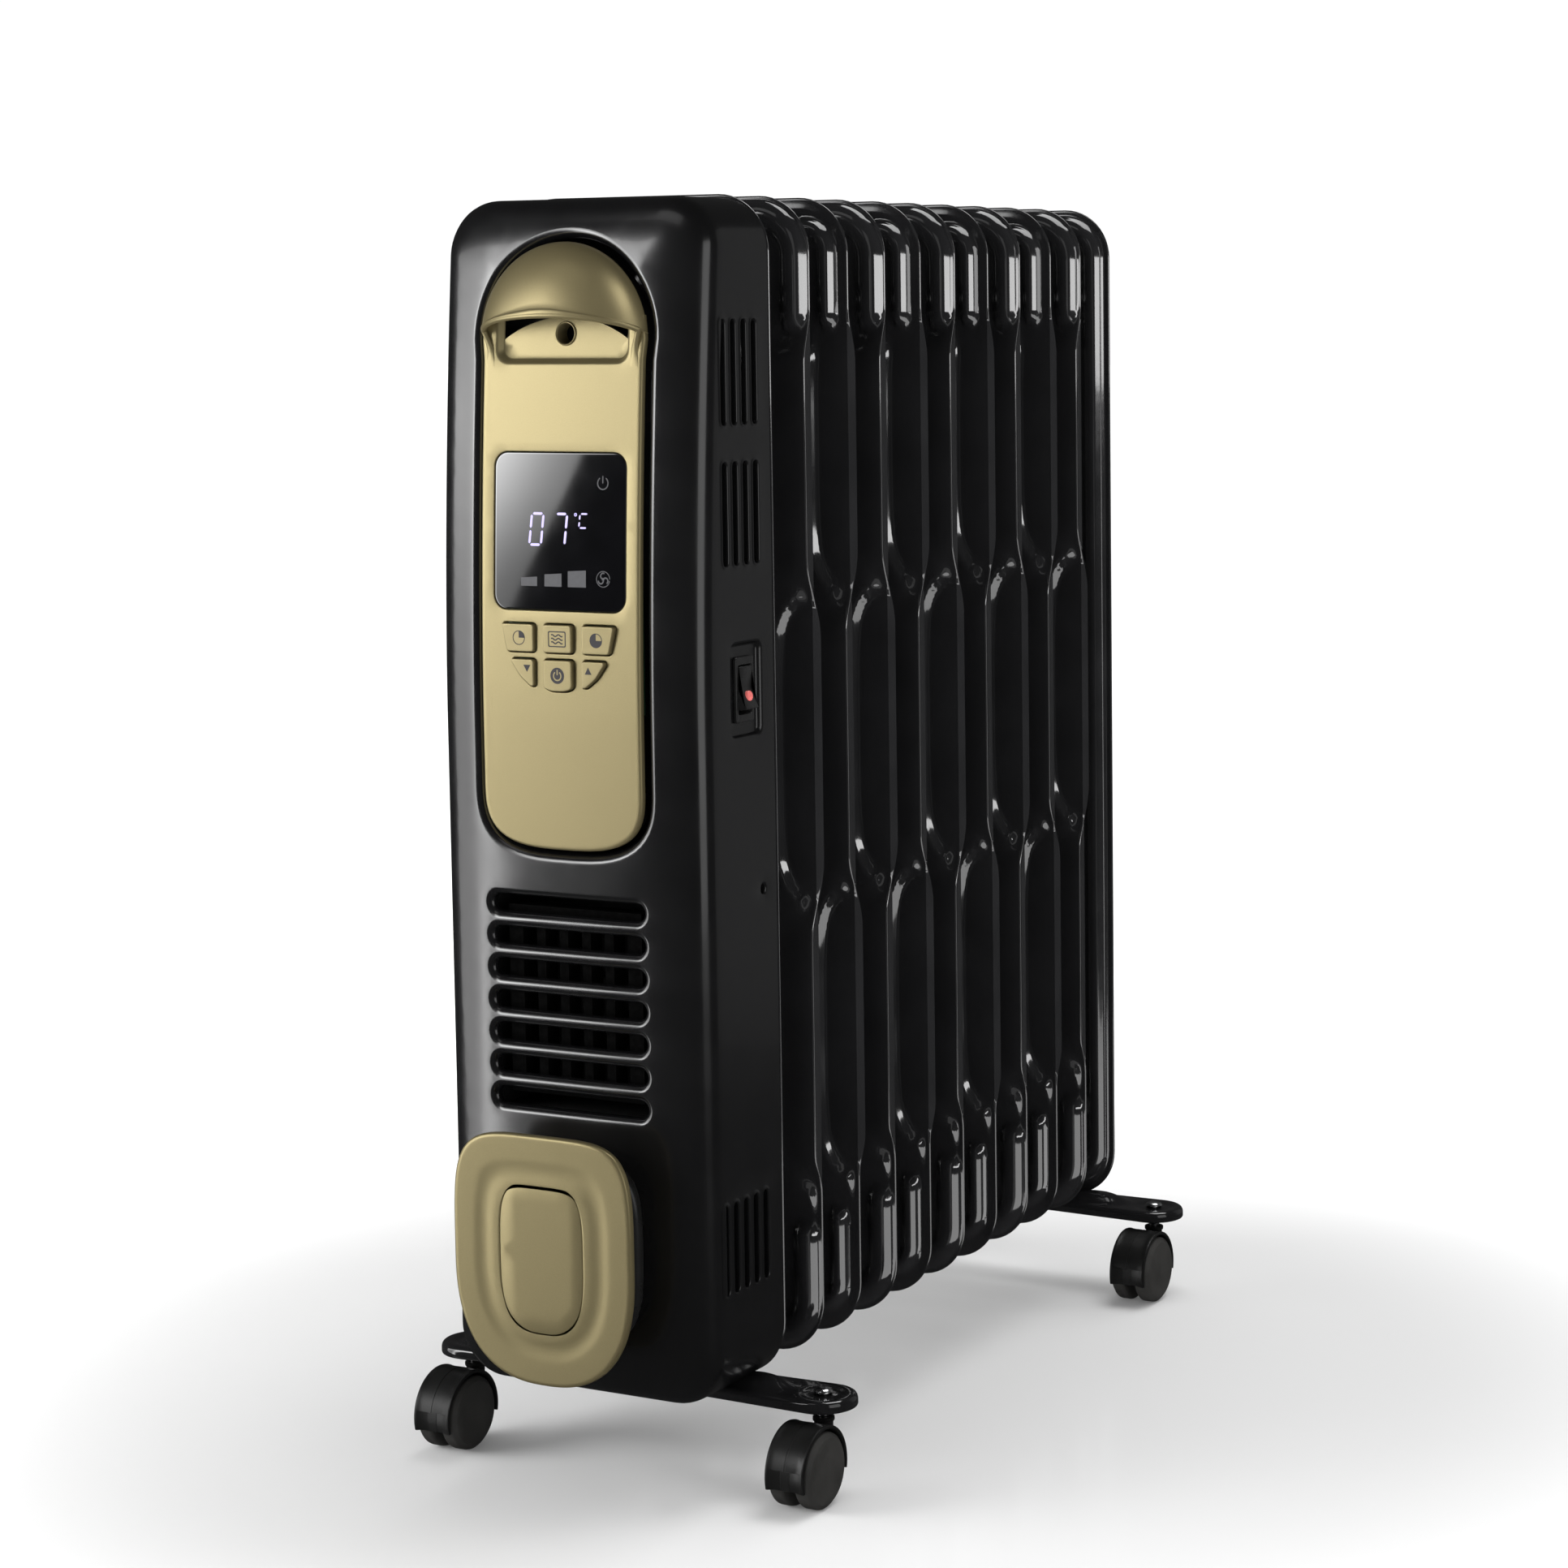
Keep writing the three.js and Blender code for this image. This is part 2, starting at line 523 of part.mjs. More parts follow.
const KEYS = {
  key_on_timer: mirror(outerKey),
  key_heat_mode: middleKey(KEY_ROW_1.bottom, KEY_ROW_1.top, 0.2),
  key_off_timer: outerKey,
  key_down: mirror(cornerKey),
  key_power: middleKey(397.4, KEY_ROW_2.top, 1.3),
  key_up: cornerKey,
};
const KEY_PROUD = 2;
const KEY_DEPTH = 7;

// The outline moved outwards from its own middle by a clearance.
const grown = (points, by) => {
  const xs = points.map(([x]) => x);
  const zs = points.map(([, z]) => z);
  const middle = (list) => (Math.min(...list) + Math.max(...list)) / 2;
  const half = (list) => (Math.max(...list) - Math.min(...list)) / 2;
  return points.map(([x, z]) => [
    middle(xs) + (x - middle(xs)) * (1 + by / half(xs)),
    middle(zs) + (z - middle(zs)) * (1 + by / half(zs)),
  ]);
};
const keyHoles = Object.values(KEYS).map((points) => prismY(grown(points, 0.5), PANEL_Y - 10, PANEL_Y + 20));

add('control_panel', join(
  cut(panelPlate, domeSpace, tubSpace, pocketMouth, displayOpening, ...keyHoles),
  hoodShell,
  cut(tub, tubSpace),
  dWall,
), gold);

const GLASS_RECESS = 0.15;
const GLASS_THICK = 3;
const glassRing = (y) => displayOutline(0).map(([x, z]) => [x, y + leanBack(z) + GLASS_RECESS, z]);
add('display_window', loftRings([glassRing(PANEL_Y + GLASS_THICK), glassRing(PANEL_Y)]), displayGlass);

for (const [name, points] of Object.entries(KEYS)) {
  const front = PANEL_Y + leanBack(points[0][1]) - KEY_PROUD;
  add(name, prismY(points, front, front + KEY_DEPTH), gold);
}

const BOARD = { half: 38, y: PANEL_Y + 14, thickness: 1.6, bottom: 385, top: 520 };
add('control_board', box(
  -BOARD.half, BOARD.half, BOARD.y, BOARD.y + BOARD.thickness, BOARD.bottom, BOARD.top), circuitBoard);

// ---------- rocker switch in the right side wall ----------

const BEZEL_FACE_X = HALF_WIDTH - 0.7;
const BEZEL_BACK_X = 56;
const bezelFlange = aroundRocker(8.2, 15.8, 1.5, RECESS_FLOOR_X + GAP, BEZEL_FACE_X);
const bezelBody = aroundRocker(SWITCH_BODY.halfY, SWITCH_BODY.halfZ, 1, BEZEL_BACK_X, BEZEL_FACE_X);
const bezelSpace = aroundRocker(6.1, 11.8, 0.5, BEZEL_BACK_X + 2, HALF_WIDTH + 5);
add('rocker_bezel', cut(join(bezelFlange, bezelBody), bezelSpace), blackPlastic);

// The paddle has two flat halves at an angle, and at rest its lower half stands out.
// A round lens lies in the lower half.
const ROCKER_TILT = 10;
const ROCKER_PIVOT_X = 70.5;
const PADDLE_HALF_WIDTH = 5.7;
const LENS = { radius: 2.3, z: -4, back: 3.6, front: 5.7 };
const paddle = prismY([
  [-5, -6.5], [2.5, -10.4], [6.4, -10.4], [4, 0], [6.4, 10.4], [2.5, 10.4], [-5, 6.5],
], -PADDLE_HALF_WIDTH, PADDLE_HALF_WIDTH);
const lensRod = (grow) =>
  alongX(rod(LENS.radius + grow, LENS.back - grow, LENS.front + 5 * grow, 12)).translate(0, 0, LENS.z);
const asTilted = (solid) => solid.rotate([0, -ROCKER_TILT, 0]).translate(ROCKER_PIVOT_X, ROCKER_Y, ROCKER_Z);
add('rocker', asTilted(cut(paddle, lensRod(GAP))), blackPlastic);
add('rocker_lens', asTilted(lensRod(0)), redLens);

// ---------- cord winder ----------

const HUB_BACK_Y = COVER_FRONT_Y - GAP;
const PLATE_BACK_Y = PLATE_FRONT_Y + 4;
const plateOutline = (inset) =>
  superOutline(PLATE_HALF - inset, PLATE_HALF_HEIGHT - inset, PLATE_Z, 4.6, 2.5, 32);
const hubOutline = (inset) => superOutline(38 - inset, 44 - inset, PLATE_Z, 4, 3, 28);
add('winder_hub', cut(
  prismY(hubOutline(0), PLATE_BACK_Y + GAP, HUB_BACK_Y),
  prismY(hubOutline(2.5), PLATE_BACK_Y + 3, HUB_BACK_Y + 5),
), blackPlastic);

const INLAY = { half: 23.5, halfHeight: 36, z: PLATE_Z + 1, recess: 1.2 };
const inlayOutline = (inset) =>
  superOutline(INLAY.half - inset, INLAY.halfHeight - inset, INLAY.z, 4.2, 3, 28);
const plateRing = (inset, y) => {
  const points = plateOutline(inset).map(([x, z]) => [x, y, z]);
  const start = points.findIndex(([x], i) => x > 0 && points.at(i - 1)[0] < 0);
  return [...points.slice(start), ...points.slice(0, start)];
};
// Insets from the plate's outline and the depth there: rounded edge, then a soft groove.
const PLATE_SECTION = [[0, 4], [0, 1.8], [2, 0], [13, 0], [17, 1.3], [21, 0]];
const plateBlank = loftRings(PLATE_SECTION.map(([inset, depth]) => plateRing(inset, PLATE_FRONT_Y + depth)));
const inlaySeat = prismY(inlayOutline(-GAP), PLATE_FRONT_Y - 5, PLATE_FRONT_Y + INLAY.recess);
add('winder_plate', cut(plateBlank, inlaySeat), gold);
add('winder_inlay', prismY(inlayOutline(0), PLATE_FRONT_Y, PLATE_FRONT_Y + INLAY.recess - GAP), gold);

// Gland in the underside of the housing, where the mains lead comes out.
const glandProfile = [
  [3.5, COVER_BOTTOM - 4], [9, COVER_BOTTOM - 4], [9, COVER_BOTTOM - GAP],
  [GLAND.radius, COVER_BOTTOM - GAP], [GLAND.radius, COVER_BOTTOM + 9], [3.5, COVER_BOTTOM + 9],
  [3.5, COVER_BOTTOM - 4],
];
add('cord_gland', toSolid(turned(glandProfile, 16)).translate(GLAND.x, GLAND.y, 0), blackPlastic);

// ---------- fan heater behind the louvres ----------

const FAN_Z = SLOT_TOP_Z - SLOT_PITCH * (SLOT_COUNT - 1) / 2;
const DUCT = { front: COVER_FRONT_Y + 5, back: -165, halfX: 48, halfZ: 56, wall: 2 };
const ductBox = (wall, front) => box(
  wall - DUCT.halfX, DUCT.halfX - wall, front, DUCT.back - wall,
  FAN_Z - DUCT.halfZ + wall, FAN_Z + DUCT.halfZ - wall);
const ductShell = cut(
  ductBox(0, DUCT.front),
  ductBox(DUCT.wall, DUCT.front - 5),
  alongY(rod(38, DUCT.back - 5, DUCT.back + 5, 24)).translate(0, 0, FAN_Z),
);
const motorBridge = box(-42, 42, DUCT.back - DUCT.wall, DUCT.back, FAN_Z - 8, FAN_Z + 8);
add('fan_duct', join(ductShell, motorBridge), greyPlastic);

const onFanAxis = (geometry) => alongY(geometry).translate(0, 0, FAN_Z);
const MOTOR_BACK = DUCT.back - DUCT.wall - GAP;
add('fan_motor', onFanAxis(turned([
  [0, MOTOR_BACK - 32], [1.5, MOTOR_BACK - 32], [1.5, MOTOR_BACK - 14], [15, MOTOR_BACK - 14],
  [15, MOTOR_BACK], [0, MOTOR_BACK],
], 16)), polishedSteel);
const blade = box(8, 36, -1, 1, -9, 9).rotate([35, 0, 0]);
const blades = Array.from({ length: 5 }, (_, i) => blade.rotate([0, 72 * i, 0]));
const impellerY = MOTOR_BACK - 22;
add('fan_impeller', cut(
  join(alongY(rod(11, -6, 6, 16)), ...blades),
  alongY(rod(1.85, -10, 10, 16)),
).translate(0, impellerY, FAN_Z), greyPlastic);

const ptcSlots = Array.from({ length: 5 }, (_, i) =>
  box(-30 + i * 13, -22 + i * 13, DUCT.front, DUCT.front + 20, FAN_Z - 40, FAN_Z + 40));
add('ptc_element', cut(
  box(-38, 38, DUCT.front + 3, DUCT.front + 13, FAN_Z - 46, FAN_Z + 46), ...ptcSlots), blackAluminium);

add('tip_over_switch', box(25, 45, -190, -176, COVER_BOTTOM + 4, COVER_BOTTOM + 32), blackPlastic);

// ---------- feet: pressed channels clamped on by a U-bolt and two wing nuts ----------

const BOLT_ROD = 3;
const BOLT_REACH = HEADER_RADIUS + GAP + BOLT_ROD;
const footOutline = (y, inset) => [
  ...arc(STUD_X, y, FOOT_END_RADIUS - inset, -90, 90, 8),
  [40, y + 15 - inset], [-40, y + 15 - inset],
  ...arc(-STUD_X, y, FOOT_END_RADIUS - inset, 90, 270, 8),
  [-40, y - 15 + inset], [40, y - 15 + inset],
];
const foot = (y, boltY) => cut(
  prismZ(footOutline(y, 0), FOOT_BOTTOM, FOOT_TOP),
  prismZ(footOutline(y, FOOT_WALL), FOOT_BOTTOM - 5, FOOT_TOP - FOOT_WALL),
  ...[-1, 1].map((side) => toSolid(rod(STEM_RADIUS + GAP, 30, 60, 16)).translate(side * STUD_X, y, 0)),
  ...[-1, 1].map((side) => toSolid(rod(BOLT_ROD + GAP, 30, 60, 12)).translate(side * BOLT_REACH, boltY, 0)),
);

const NUT_TOP = FOOT_TOP - FOOT_WALL - GAP;
const uBolt = (y) => {
  const path = new THREE.CurvePath();
  const point = (x, z) => new THREE.Vector3(x, y, z);
  const legBottom = 41;
  path.add(new THREE.LineCurve3(point(BOLT_REACH, legBottom), point(BOLT_REACH, LOWER_HEADER_Z)));
  const turn = arc(0, LOWER_HEADER_Z, BOLT_REACH, 0, 180, 10).map(([x, z]) => point(x, z));
  turn.slice(1).forEach((to, i) => path.add(new THREE.LineCurve3(turn[i], to)));
  path.add(new THREE.LineCurve3(point(-BOLT_REACH, LOWER_HEADER_Z), point(-BOLT_REACH, legBottom)));
  const section = new THREE.Shape().absarc(0, 0, BOLT_ROD, 0, 2 * Math.PI);
  return toSolid(new THREE.ExtrudeGeometry(section, {
    steps: 20, curveSegments: 3, extrudePath: path, bevelEnabled: false,
  }));
};
const wingNut = (x, y) => {
  const rightWing = [[0, -0.6], [4, -0.6], [10, -3], [10.5, -7], [8.5, -6.6], [5, -4], [0, -4]];
  const wings = prismY([...rightWing, ...mirror(rightWing).slice(1, -1)], -1, 1);
  return cut(
    join(toSolid(rod(5.5, -6.6, 0, 10)), wings),
    toSolid(rod(BOLT_ROD + GAP, -10, 5, 10)),
  ).translate(x, y, NUT_TOP);
};

const STEM_BOTTOM = 32.5;
const stemProfile = [
  [0, STEM_BOTTOM], [STEM_RADIUS, STEM_BOTTOM], [STEM_RADIUS, NUT_TOP - 2.6], [5.5, NUT_TOP - 2.6],
  [5.5, NUT_TOP], [STEM_RADIUS, NUT_TOP], [STEM_RADIUS, FOOT_TOP + GAP], [5, FOOT_TOP + GAP],
  [4.2, FOOT_TOP + 2], [0, FOOT_TOP + 2.8],
];

// ---------- castors: a hood that swivels on the stem, and two wheels on its axle ----------

const HOOD_OUTER = 22;
const HOOD_INNER = 19.7;
const SOCKET_RADIUS = 5.4;
const SOCKET_TOP = 41.6;
const AXLE_RADIUS = 1.9;
const HOOD_HALF_WIDTH = 10.8;
const WEB_HALF_WIDTH = 2.7;
const hoodArc = (radius) => arc(0, 0, radius, -12, 195, 13);
const hoodBand = prismX([
  ...hoodArc(HOOD_OUTER), ...hoodArc(HOOD_INNER).reverse(),
], -HOOD_HALF_WIDTH, HOOD_HALF_WIDTH);
const hoodWeb = prismX(
  [...hoodArc(HOOD_OUTER - 0.8), ...arc(0, 0, 9, 200, 340, 4)], -WEB_HALF_WIDTH, WEB_HALF_WIDTH);
const wheelSpace = (from, to) => alongX(rod(HOOD_INNER - 0.3, from, to, 16));
const onSwivel = (solid) => solid.translate(0, CASTOR_TRAIL, -WHEEL_RADIUS);
const socket = onSwivel(toSolid(rod(SOCKET_RADIUS, STEM_BOTTOM - 8, SOCKET_TOP, 12)));
const socketBore = onSwivel(toSolid(rod(STEM_RADIUS + GAP, STEM_BOTTOM - GAP, 60, 12)));
const axle = alongX(rod(AXLE_RADIUS, -10.6, 10.6, 8));
const castorHood = cut(
  join(cut(
    join(hoodWeb, hoodBand, socket),
    wheelSpace(WEB_HALF_WIDTH, 14),
    wheelSpace(-14, -WEB_HALF_WIDTH),
  ), axle),
  socketBore,
);

const wheelProfile = [
  [0, 11], [AXLE_RADIUS + GAP, 11], [AXLE_RADIUS + GAP, WHEEL_INNER], [17.9, WHEEL_INNER],
  [WHEEL_RADIUS, WHEEL_INNER + 0.8], [WHEEL_RADIUS, 10], [16.5, WHEEL_OUTER], [0, WHEEL_OUTER],
];
const outwards = (profile, side) => (side > 0 ? profile : profile.map(([r, x]) => [r, -x]).reverse());
const wheel = (side) => alongX(turned(outwards(wheelProfile, side), 20));

// The front U-bolt passes round the heating element's seat, the rear one round the last collar.
const ENDS = [['front', FRONT_FOOT_Y, FRONT_FOOT_Y], ['rear', REAR_FOOT_Y, REAR_END_Y - 11]];
for (const [end, y, boltY] of ENDS) {
  add(`${end}_foot`, foot(y, boltY), blackEnamel);
  add(`${end}_u_bolt`, uBolt(boltY), polishedSteel);
  for (const [hand, side] of [['left', -1], ['right', 1]]) {
    const name = `${end}_${hand}`;
    const axlePlace = [side * STUD_X, y - CASTOR_TRAIL, WHEEL_RADIUS];
    add(`${name}_wing_nut`, wingNut(side * BOLT_REACH, boltY), polishedSteel);
    add(`${name}_stem`, toSolid(turned(stemProfile, 12)).translate(side * STUD_X, y, 0), polishedSteel);
    add(`${name}_castor`, castorHood.translate(...axlePlace), blackPlastic);
    add(`${name}_wheel_a`, wheel(-1).translate(...axlePlace), blackPlastic);
    add(`${name}_wheel_b`, wheel(1).translate(...axlePlace), blackPlastic);
  }
}

export default heater;
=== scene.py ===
"""Looks of an oil filled column radiator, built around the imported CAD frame.

Lengths in the modelling code are millimetres in the CAD frame; meshes are scaled to metres when made.
"""
import json
import math

import bmesh
import bpy
import numpy as np
from mathutils import Matrix, Vector
from mathutils.geometry import delaunay_2d_cdt

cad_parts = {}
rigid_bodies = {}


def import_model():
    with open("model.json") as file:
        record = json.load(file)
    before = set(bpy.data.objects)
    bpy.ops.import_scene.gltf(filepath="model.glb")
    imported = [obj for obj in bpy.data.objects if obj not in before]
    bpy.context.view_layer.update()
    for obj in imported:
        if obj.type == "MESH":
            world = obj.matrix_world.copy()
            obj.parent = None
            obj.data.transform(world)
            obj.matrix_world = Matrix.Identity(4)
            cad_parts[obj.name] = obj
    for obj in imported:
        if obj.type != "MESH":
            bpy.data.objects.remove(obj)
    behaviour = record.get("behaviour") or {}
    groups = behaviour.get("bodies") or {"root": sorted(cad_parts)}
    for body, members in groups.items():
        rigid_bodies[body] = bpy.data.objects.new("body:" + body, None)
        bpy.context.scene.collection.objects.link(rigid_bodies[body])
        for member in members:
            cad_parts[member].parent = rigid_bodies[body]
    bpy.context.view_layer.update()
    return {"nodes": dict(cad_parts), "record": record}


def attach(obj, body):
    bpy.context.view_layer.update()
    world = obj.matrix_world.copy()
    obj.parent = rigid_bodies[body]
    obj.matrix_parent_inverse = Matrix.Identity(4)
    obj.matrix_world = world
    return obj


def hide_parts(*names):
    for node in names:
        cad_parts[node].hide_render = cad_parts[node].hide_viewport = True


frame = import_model()
MM = 0.001

# ---------- camera, first because everything is judged from it ----------

CAMERA_PLACE = Vector((0.92790, -1.58765, 0.57525))
CAMERA_YAW = 0.478266
CAMERA_PITCH = 0.0964414
CAMERA_ROLL = -0.0100855
FOCAL_LENGTH = 79.74
SHIFT_X, SHIFT_Y = -0.1186, -0.0887

camera = bpy.data.objects.new("camera", bpy.data.cameras.new("camera"))
bpy.context.scene.collection.objects.link(camera)
forward = Vector((-math.sin(CAMERA_YAW) * math.cos(CAMERA_PITCH),
                  math.cos(CAMERA_YAW) * math.cos(CAMERA_PITCH),
                  -math.sin(CAMERA_PITCH)))
level = Vector((math.cos(CAMERA_YAW), math.sin(CAMERA_YAW), 0))
upright = level.cross(forward)
right = math.cos(CAMERA_ROLL) * level + math.sin(CAMERA_ROLL) * upright
up = -math.sin(CAMERA_ROLL) * level + math.cos(CAMERA_ROLL) * upright
turn = Matrix((right, up, -forward)).transposed().to_4x4()
camera.matrix_world = Matrix.Translation(CAMERA_PLACE) @ turn
camera.data.sensor_width = 36
camera.data.lens = FOCAL_LENGTH
camera.data.shift_x = SHIFT_X
camera.data.shift_y = SHIFT_Y
camera.data.dof.use_dof = False
bpy.context.scene.camera = camera

# ---------- outlines in two dimensions, counter-clockwise ----------


def arc(cx, cy, radius, start, end, steps):
    angles = np.radians(np.linspace(start, end, steps + 1))
    return np.column_stack((cx + radius * np.cos(angles), cy + radius * np.sin(angles)))


def disc(cx, cy, radius):
    return arc(cx, cy, radius, 0, 345, 23)


def chained(parts, straight_steps):
    """Joins arcs into one loop, with extra points along the straight runs between them."""
    points = []
    for i, part in enumerate(parts):
        points.extend(part)
        start, end = part[-1], parts[(i + 1) % len(parts)][0]
        steps = straight_steps[i % len(straight_steps)]
        points.extend(start + (end - start) * k / steps for k in range(1, steps))
    return np.array(points)


def rounded_rect(cx, cy, half_x, half_y, radius, steps=6, straight=(1, 1)):
    inner_x, inner_y = half_x - radius, half_y - radius
    return chained([
        arc(cx + inner_x, cy - inner_y, radius, -90, 0, steps),
        arc(cx + inner_x, cy + inner_y, radius, 0, 90, steps),
        arc(cx - inner_x, cy + inner_y, radius, 90, 180, steps),
        arc(cx - inner_x, cy - inner_y, radius, 180, 270, steps),
    ], straight)


def body_outline(low, high, inset, radius, straight):
    """The tall rounded shape that the fins and the housing share, from one height to another."""
    return rounded_rect(0, (low + high) / 2, HALF_WIDTH - inset, (high - low) / 2 - inset, radius,
                        steps=12, straight=straight)


def capsule(cx, cy, half_length, radius, upright_slot=False, steps=12):
    reach = half_length - radius
    if upright_slot:
        parts = [arc(cx, cy + reach, radius, 0, 180, steps), arc(cx, cy - reach, radius, 180, 360, steps)]
    else:
        parts = [arc(cx + reach, cy, radius, -90, 90, steps), arc(cx - reach, cy, radius, 90, 270, steps)]
    return chained(parts, (10,))


def superellipse(half, half_height, cy, upper_power, lower_power, steps=120):
    """An oval squarer than an ellipse, with its own squareness above and below its middle."""
    angles = 2 * np.pi * (np.arange(steps) + 0.5) / steps
    c, s = np.cos(angles), np.sin(angles)
    power = 2 / np.where(s > 0, upper_power, lower_power)
    return np.column_stack((half * np.sign(c) * np.abs(c) ** power,
                            cy + half_height * np.sign(s) * np.abs(s) ** power))


def offset(points, distance):
    """The loop moved outwards, mitred at its corners."""
    def normals(step):
        return np.column_stack((step[:, 1], -step[:, 0])) / np.linalg.norm(step, axis=1)[:, None]
    before = normals(points - np.roll(points, 1, axis=0))
    after = normals(np.roll(points, -1, axis=0) - points)
    mitre = (before + after) / (1 + (before * after).sum(axis=1))[:, None]
    return points + distance * mitre


def ellipse(half_along, half_up, steps=32):
    """Cosine and sine parts of an ellipse, for a section swept along a path."""
    turn = np.linspace(0, 2 * np.pi, steps, endpoint=False)
    return np.column_stack((half_along * np.cos(turn), half_up * np.sin(turn)))


def softened(points, radius, steps=4):
    """A polygon with each corner rounded to a radius."""
    rounded = []
    for i, corner in enumerate(points):
        corner = np.array(corner, float)
        back = np.array(points[i - 1], float) - corner
        ahead = np.array(points[(i + 1) % len(points)], float) - corner
        reach = min(radius, np.linalg.norm(back) * 0.45, np.linalg.norm(ahead) * 0.45)
        start = corner + back / np.linalg.norm(back) * reach
        end = corner + ahead / np.linalg.norm(ahead) * reach
        for t in np.linspace(0, 1, steps + 1):
            rounded.append((1 - t) ** 2 * start + 2 * t * (1 - t) * corner + t ** 2 * end)
    return np.array(rounded)


def inside(points, loops):
    """Which points lie within an odd number of the loops."""
    odd = np.zeros(len(points), bool)
    x, y = points[:, 0], points[:, 1]
    for loop in loops:
        for (x0, y0), (x1, y1) in zip(loop, np.roll(loop, -1, axis=0)):
            crosses = (y0 > y) != (y1 > y)
            if y0 != y1:
                odd ^= crosses & (x < x0 + (y - y0) * (x1 - x0) / (y1 - y0))
    return odd


def smooth(t):
    """An even S-shaped rise from 0 to 1."""
    t = np.clip(t, 0, 1)
    return t * t * (3 - 2 * t)


# ---------- surfaces ----------


class Surface:
    """Points and faces of one piece, in millimetres."""

    def __init__(self):
        self.points = []
        self.faces = []

    def ring(self, points):
        start = len(self.points)
        self.points.extend(tuple(float(v) for v in p) for p in points)
        return list(range(start, len(self.points)))

    def face(self, corners):
        self.faces.append(tuple(corners))

    def loft(self, rings, closed=True, cap_first=False, cap_last=False):
        """Four-sided faces between rings that all have the same number of points."""
        made = [self.ring(r) for r in rings]
        count = len(made[0])
        for a, b in zip(made, made[1:]):
            for i in range(count if closed else count - 1):
                j = (i + 1) % count
                self.face((a[i], a[j], b[j], b[i]))
        if cap_first:
            self.face(reversed(made[0]))
        if cap_last:
            self.face(made[-1])

    def fill(self, outer, holes, lift, spacing):
        """Triangles over a flat region with holes, each point then lifted to its place."""
        loops = [np.asarray(outer), *[np.asarray(hole) for hole in holes]]
        border = np.vstack(loops)
        low, high = loops[0].min(axis=0), loops[0].max(axis=0)
        xs = np.arange(low[0] + spacing / 2, high[0], spacing)
        ys = np.arange(low[1] + spacing / 2, high[1], spacing)
        grid = np.array([(x, y) for x in xs for y in ys]).reshape(-1, 2)
        if len(grid):
            gap = np.array([np.min(np.linalg.norm(border - p, axis=1)) for p in grid])
            grid = grid[inside(grid, loops) & (gap > spacing * 0.6)]
        points = np.vstack((border, grid))
        edges = []
        start = 0
        for loop in loops:
            edges += [(start + i, start + (i + 1) % len(loop)) for i in range(len(loop))]
            start += len(loop)
        made = delaunay_2d_cdt([Vector(p) for p in points], edges, [], 0, 1e-6)
        verts = np.array([tuple(v) for v in made[0]])
        centres = np.array([verts[list(f)].mean(axis=0) for f in made[2]])
        base = len(self.points)
        self.points.extend(tuple(float(v) for v in lift(x, y)) for x, y in verts)
        for corners, wanted in zip(made[2], inside(centres, loops)):
            if wanted:
                self.face([base + c for c in corners])

    def lip(self, outline, profile, lift):
        """Rings along an edge: each profile pair is how far out from the outline, and how deep."""
        self.loft([[lift(x, y, depth) for x, y in offset(outline, grow)] for grow, depth in profile])

    def piece(self, name, look, slot, replaced=(), body="radiator", sharp=38):
        mesh = bpy.data.meshes.new(name)
        mesh.from_pydata([tuple(v * MM for v in point) for point in self.points], [], self.faces)
        shape = bmesh.new()
        shape.from_mesh(mesh)
        bmesh.ops.remove_doubles(shape, verts=shape.verts, dist=4e-6)
        bmesh.ops.dissolve_degenerate(shape, edges=shape.edges, dist=1e-6)
        bmesh.ops.recalc_face_normals(shape, faces=shape.faces)
        shape.to_mesh(mesh)
        shape.free()
        mesh.shade_smooth()
        mesh.set_sharp_from_angle(angle=math.radians(sharp))
        mesh.materials.append(look)
        made = bpy.data.objects.new(name, mesh)
        bpy.context.scene.collection.objects.link(made)
        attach(made, body)
        if replaced:
            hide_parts(*replaced)


def turned(surface, profile, place, axis="Z", segments=40):
    """Lathe rings: profile pairs are radius and position along the axis."""
    rings = []
    for radius, along in profile:
        ring = []
        for k in range(segments):
            angle = 2 * np.pi * k / segments
            a, b = radius * math.cos(angle), radius * math.sin(angle)
            offsets = {"Z": (a, b, along), "X": (along, a, b), "Y": (b, along, a)}[axis]
            ring.append([place[i] + offsets[i] for i in range(3)])
        rings.append(ring)
    surface.loft(rings, cap_first=True, cap_last=True)


# ---------- materials ----------


def set_inputs(node, **values):
    """An underscore in an input's name stands for a space."""
    for key, value in values.items():
        node.inputs[key.replace("_", " ")].default_value = value


def add_node(nodes, kind, **values):
    made = nodes.new("ShaderNode" + kind)
    set_inputs(made, **values)
    return made


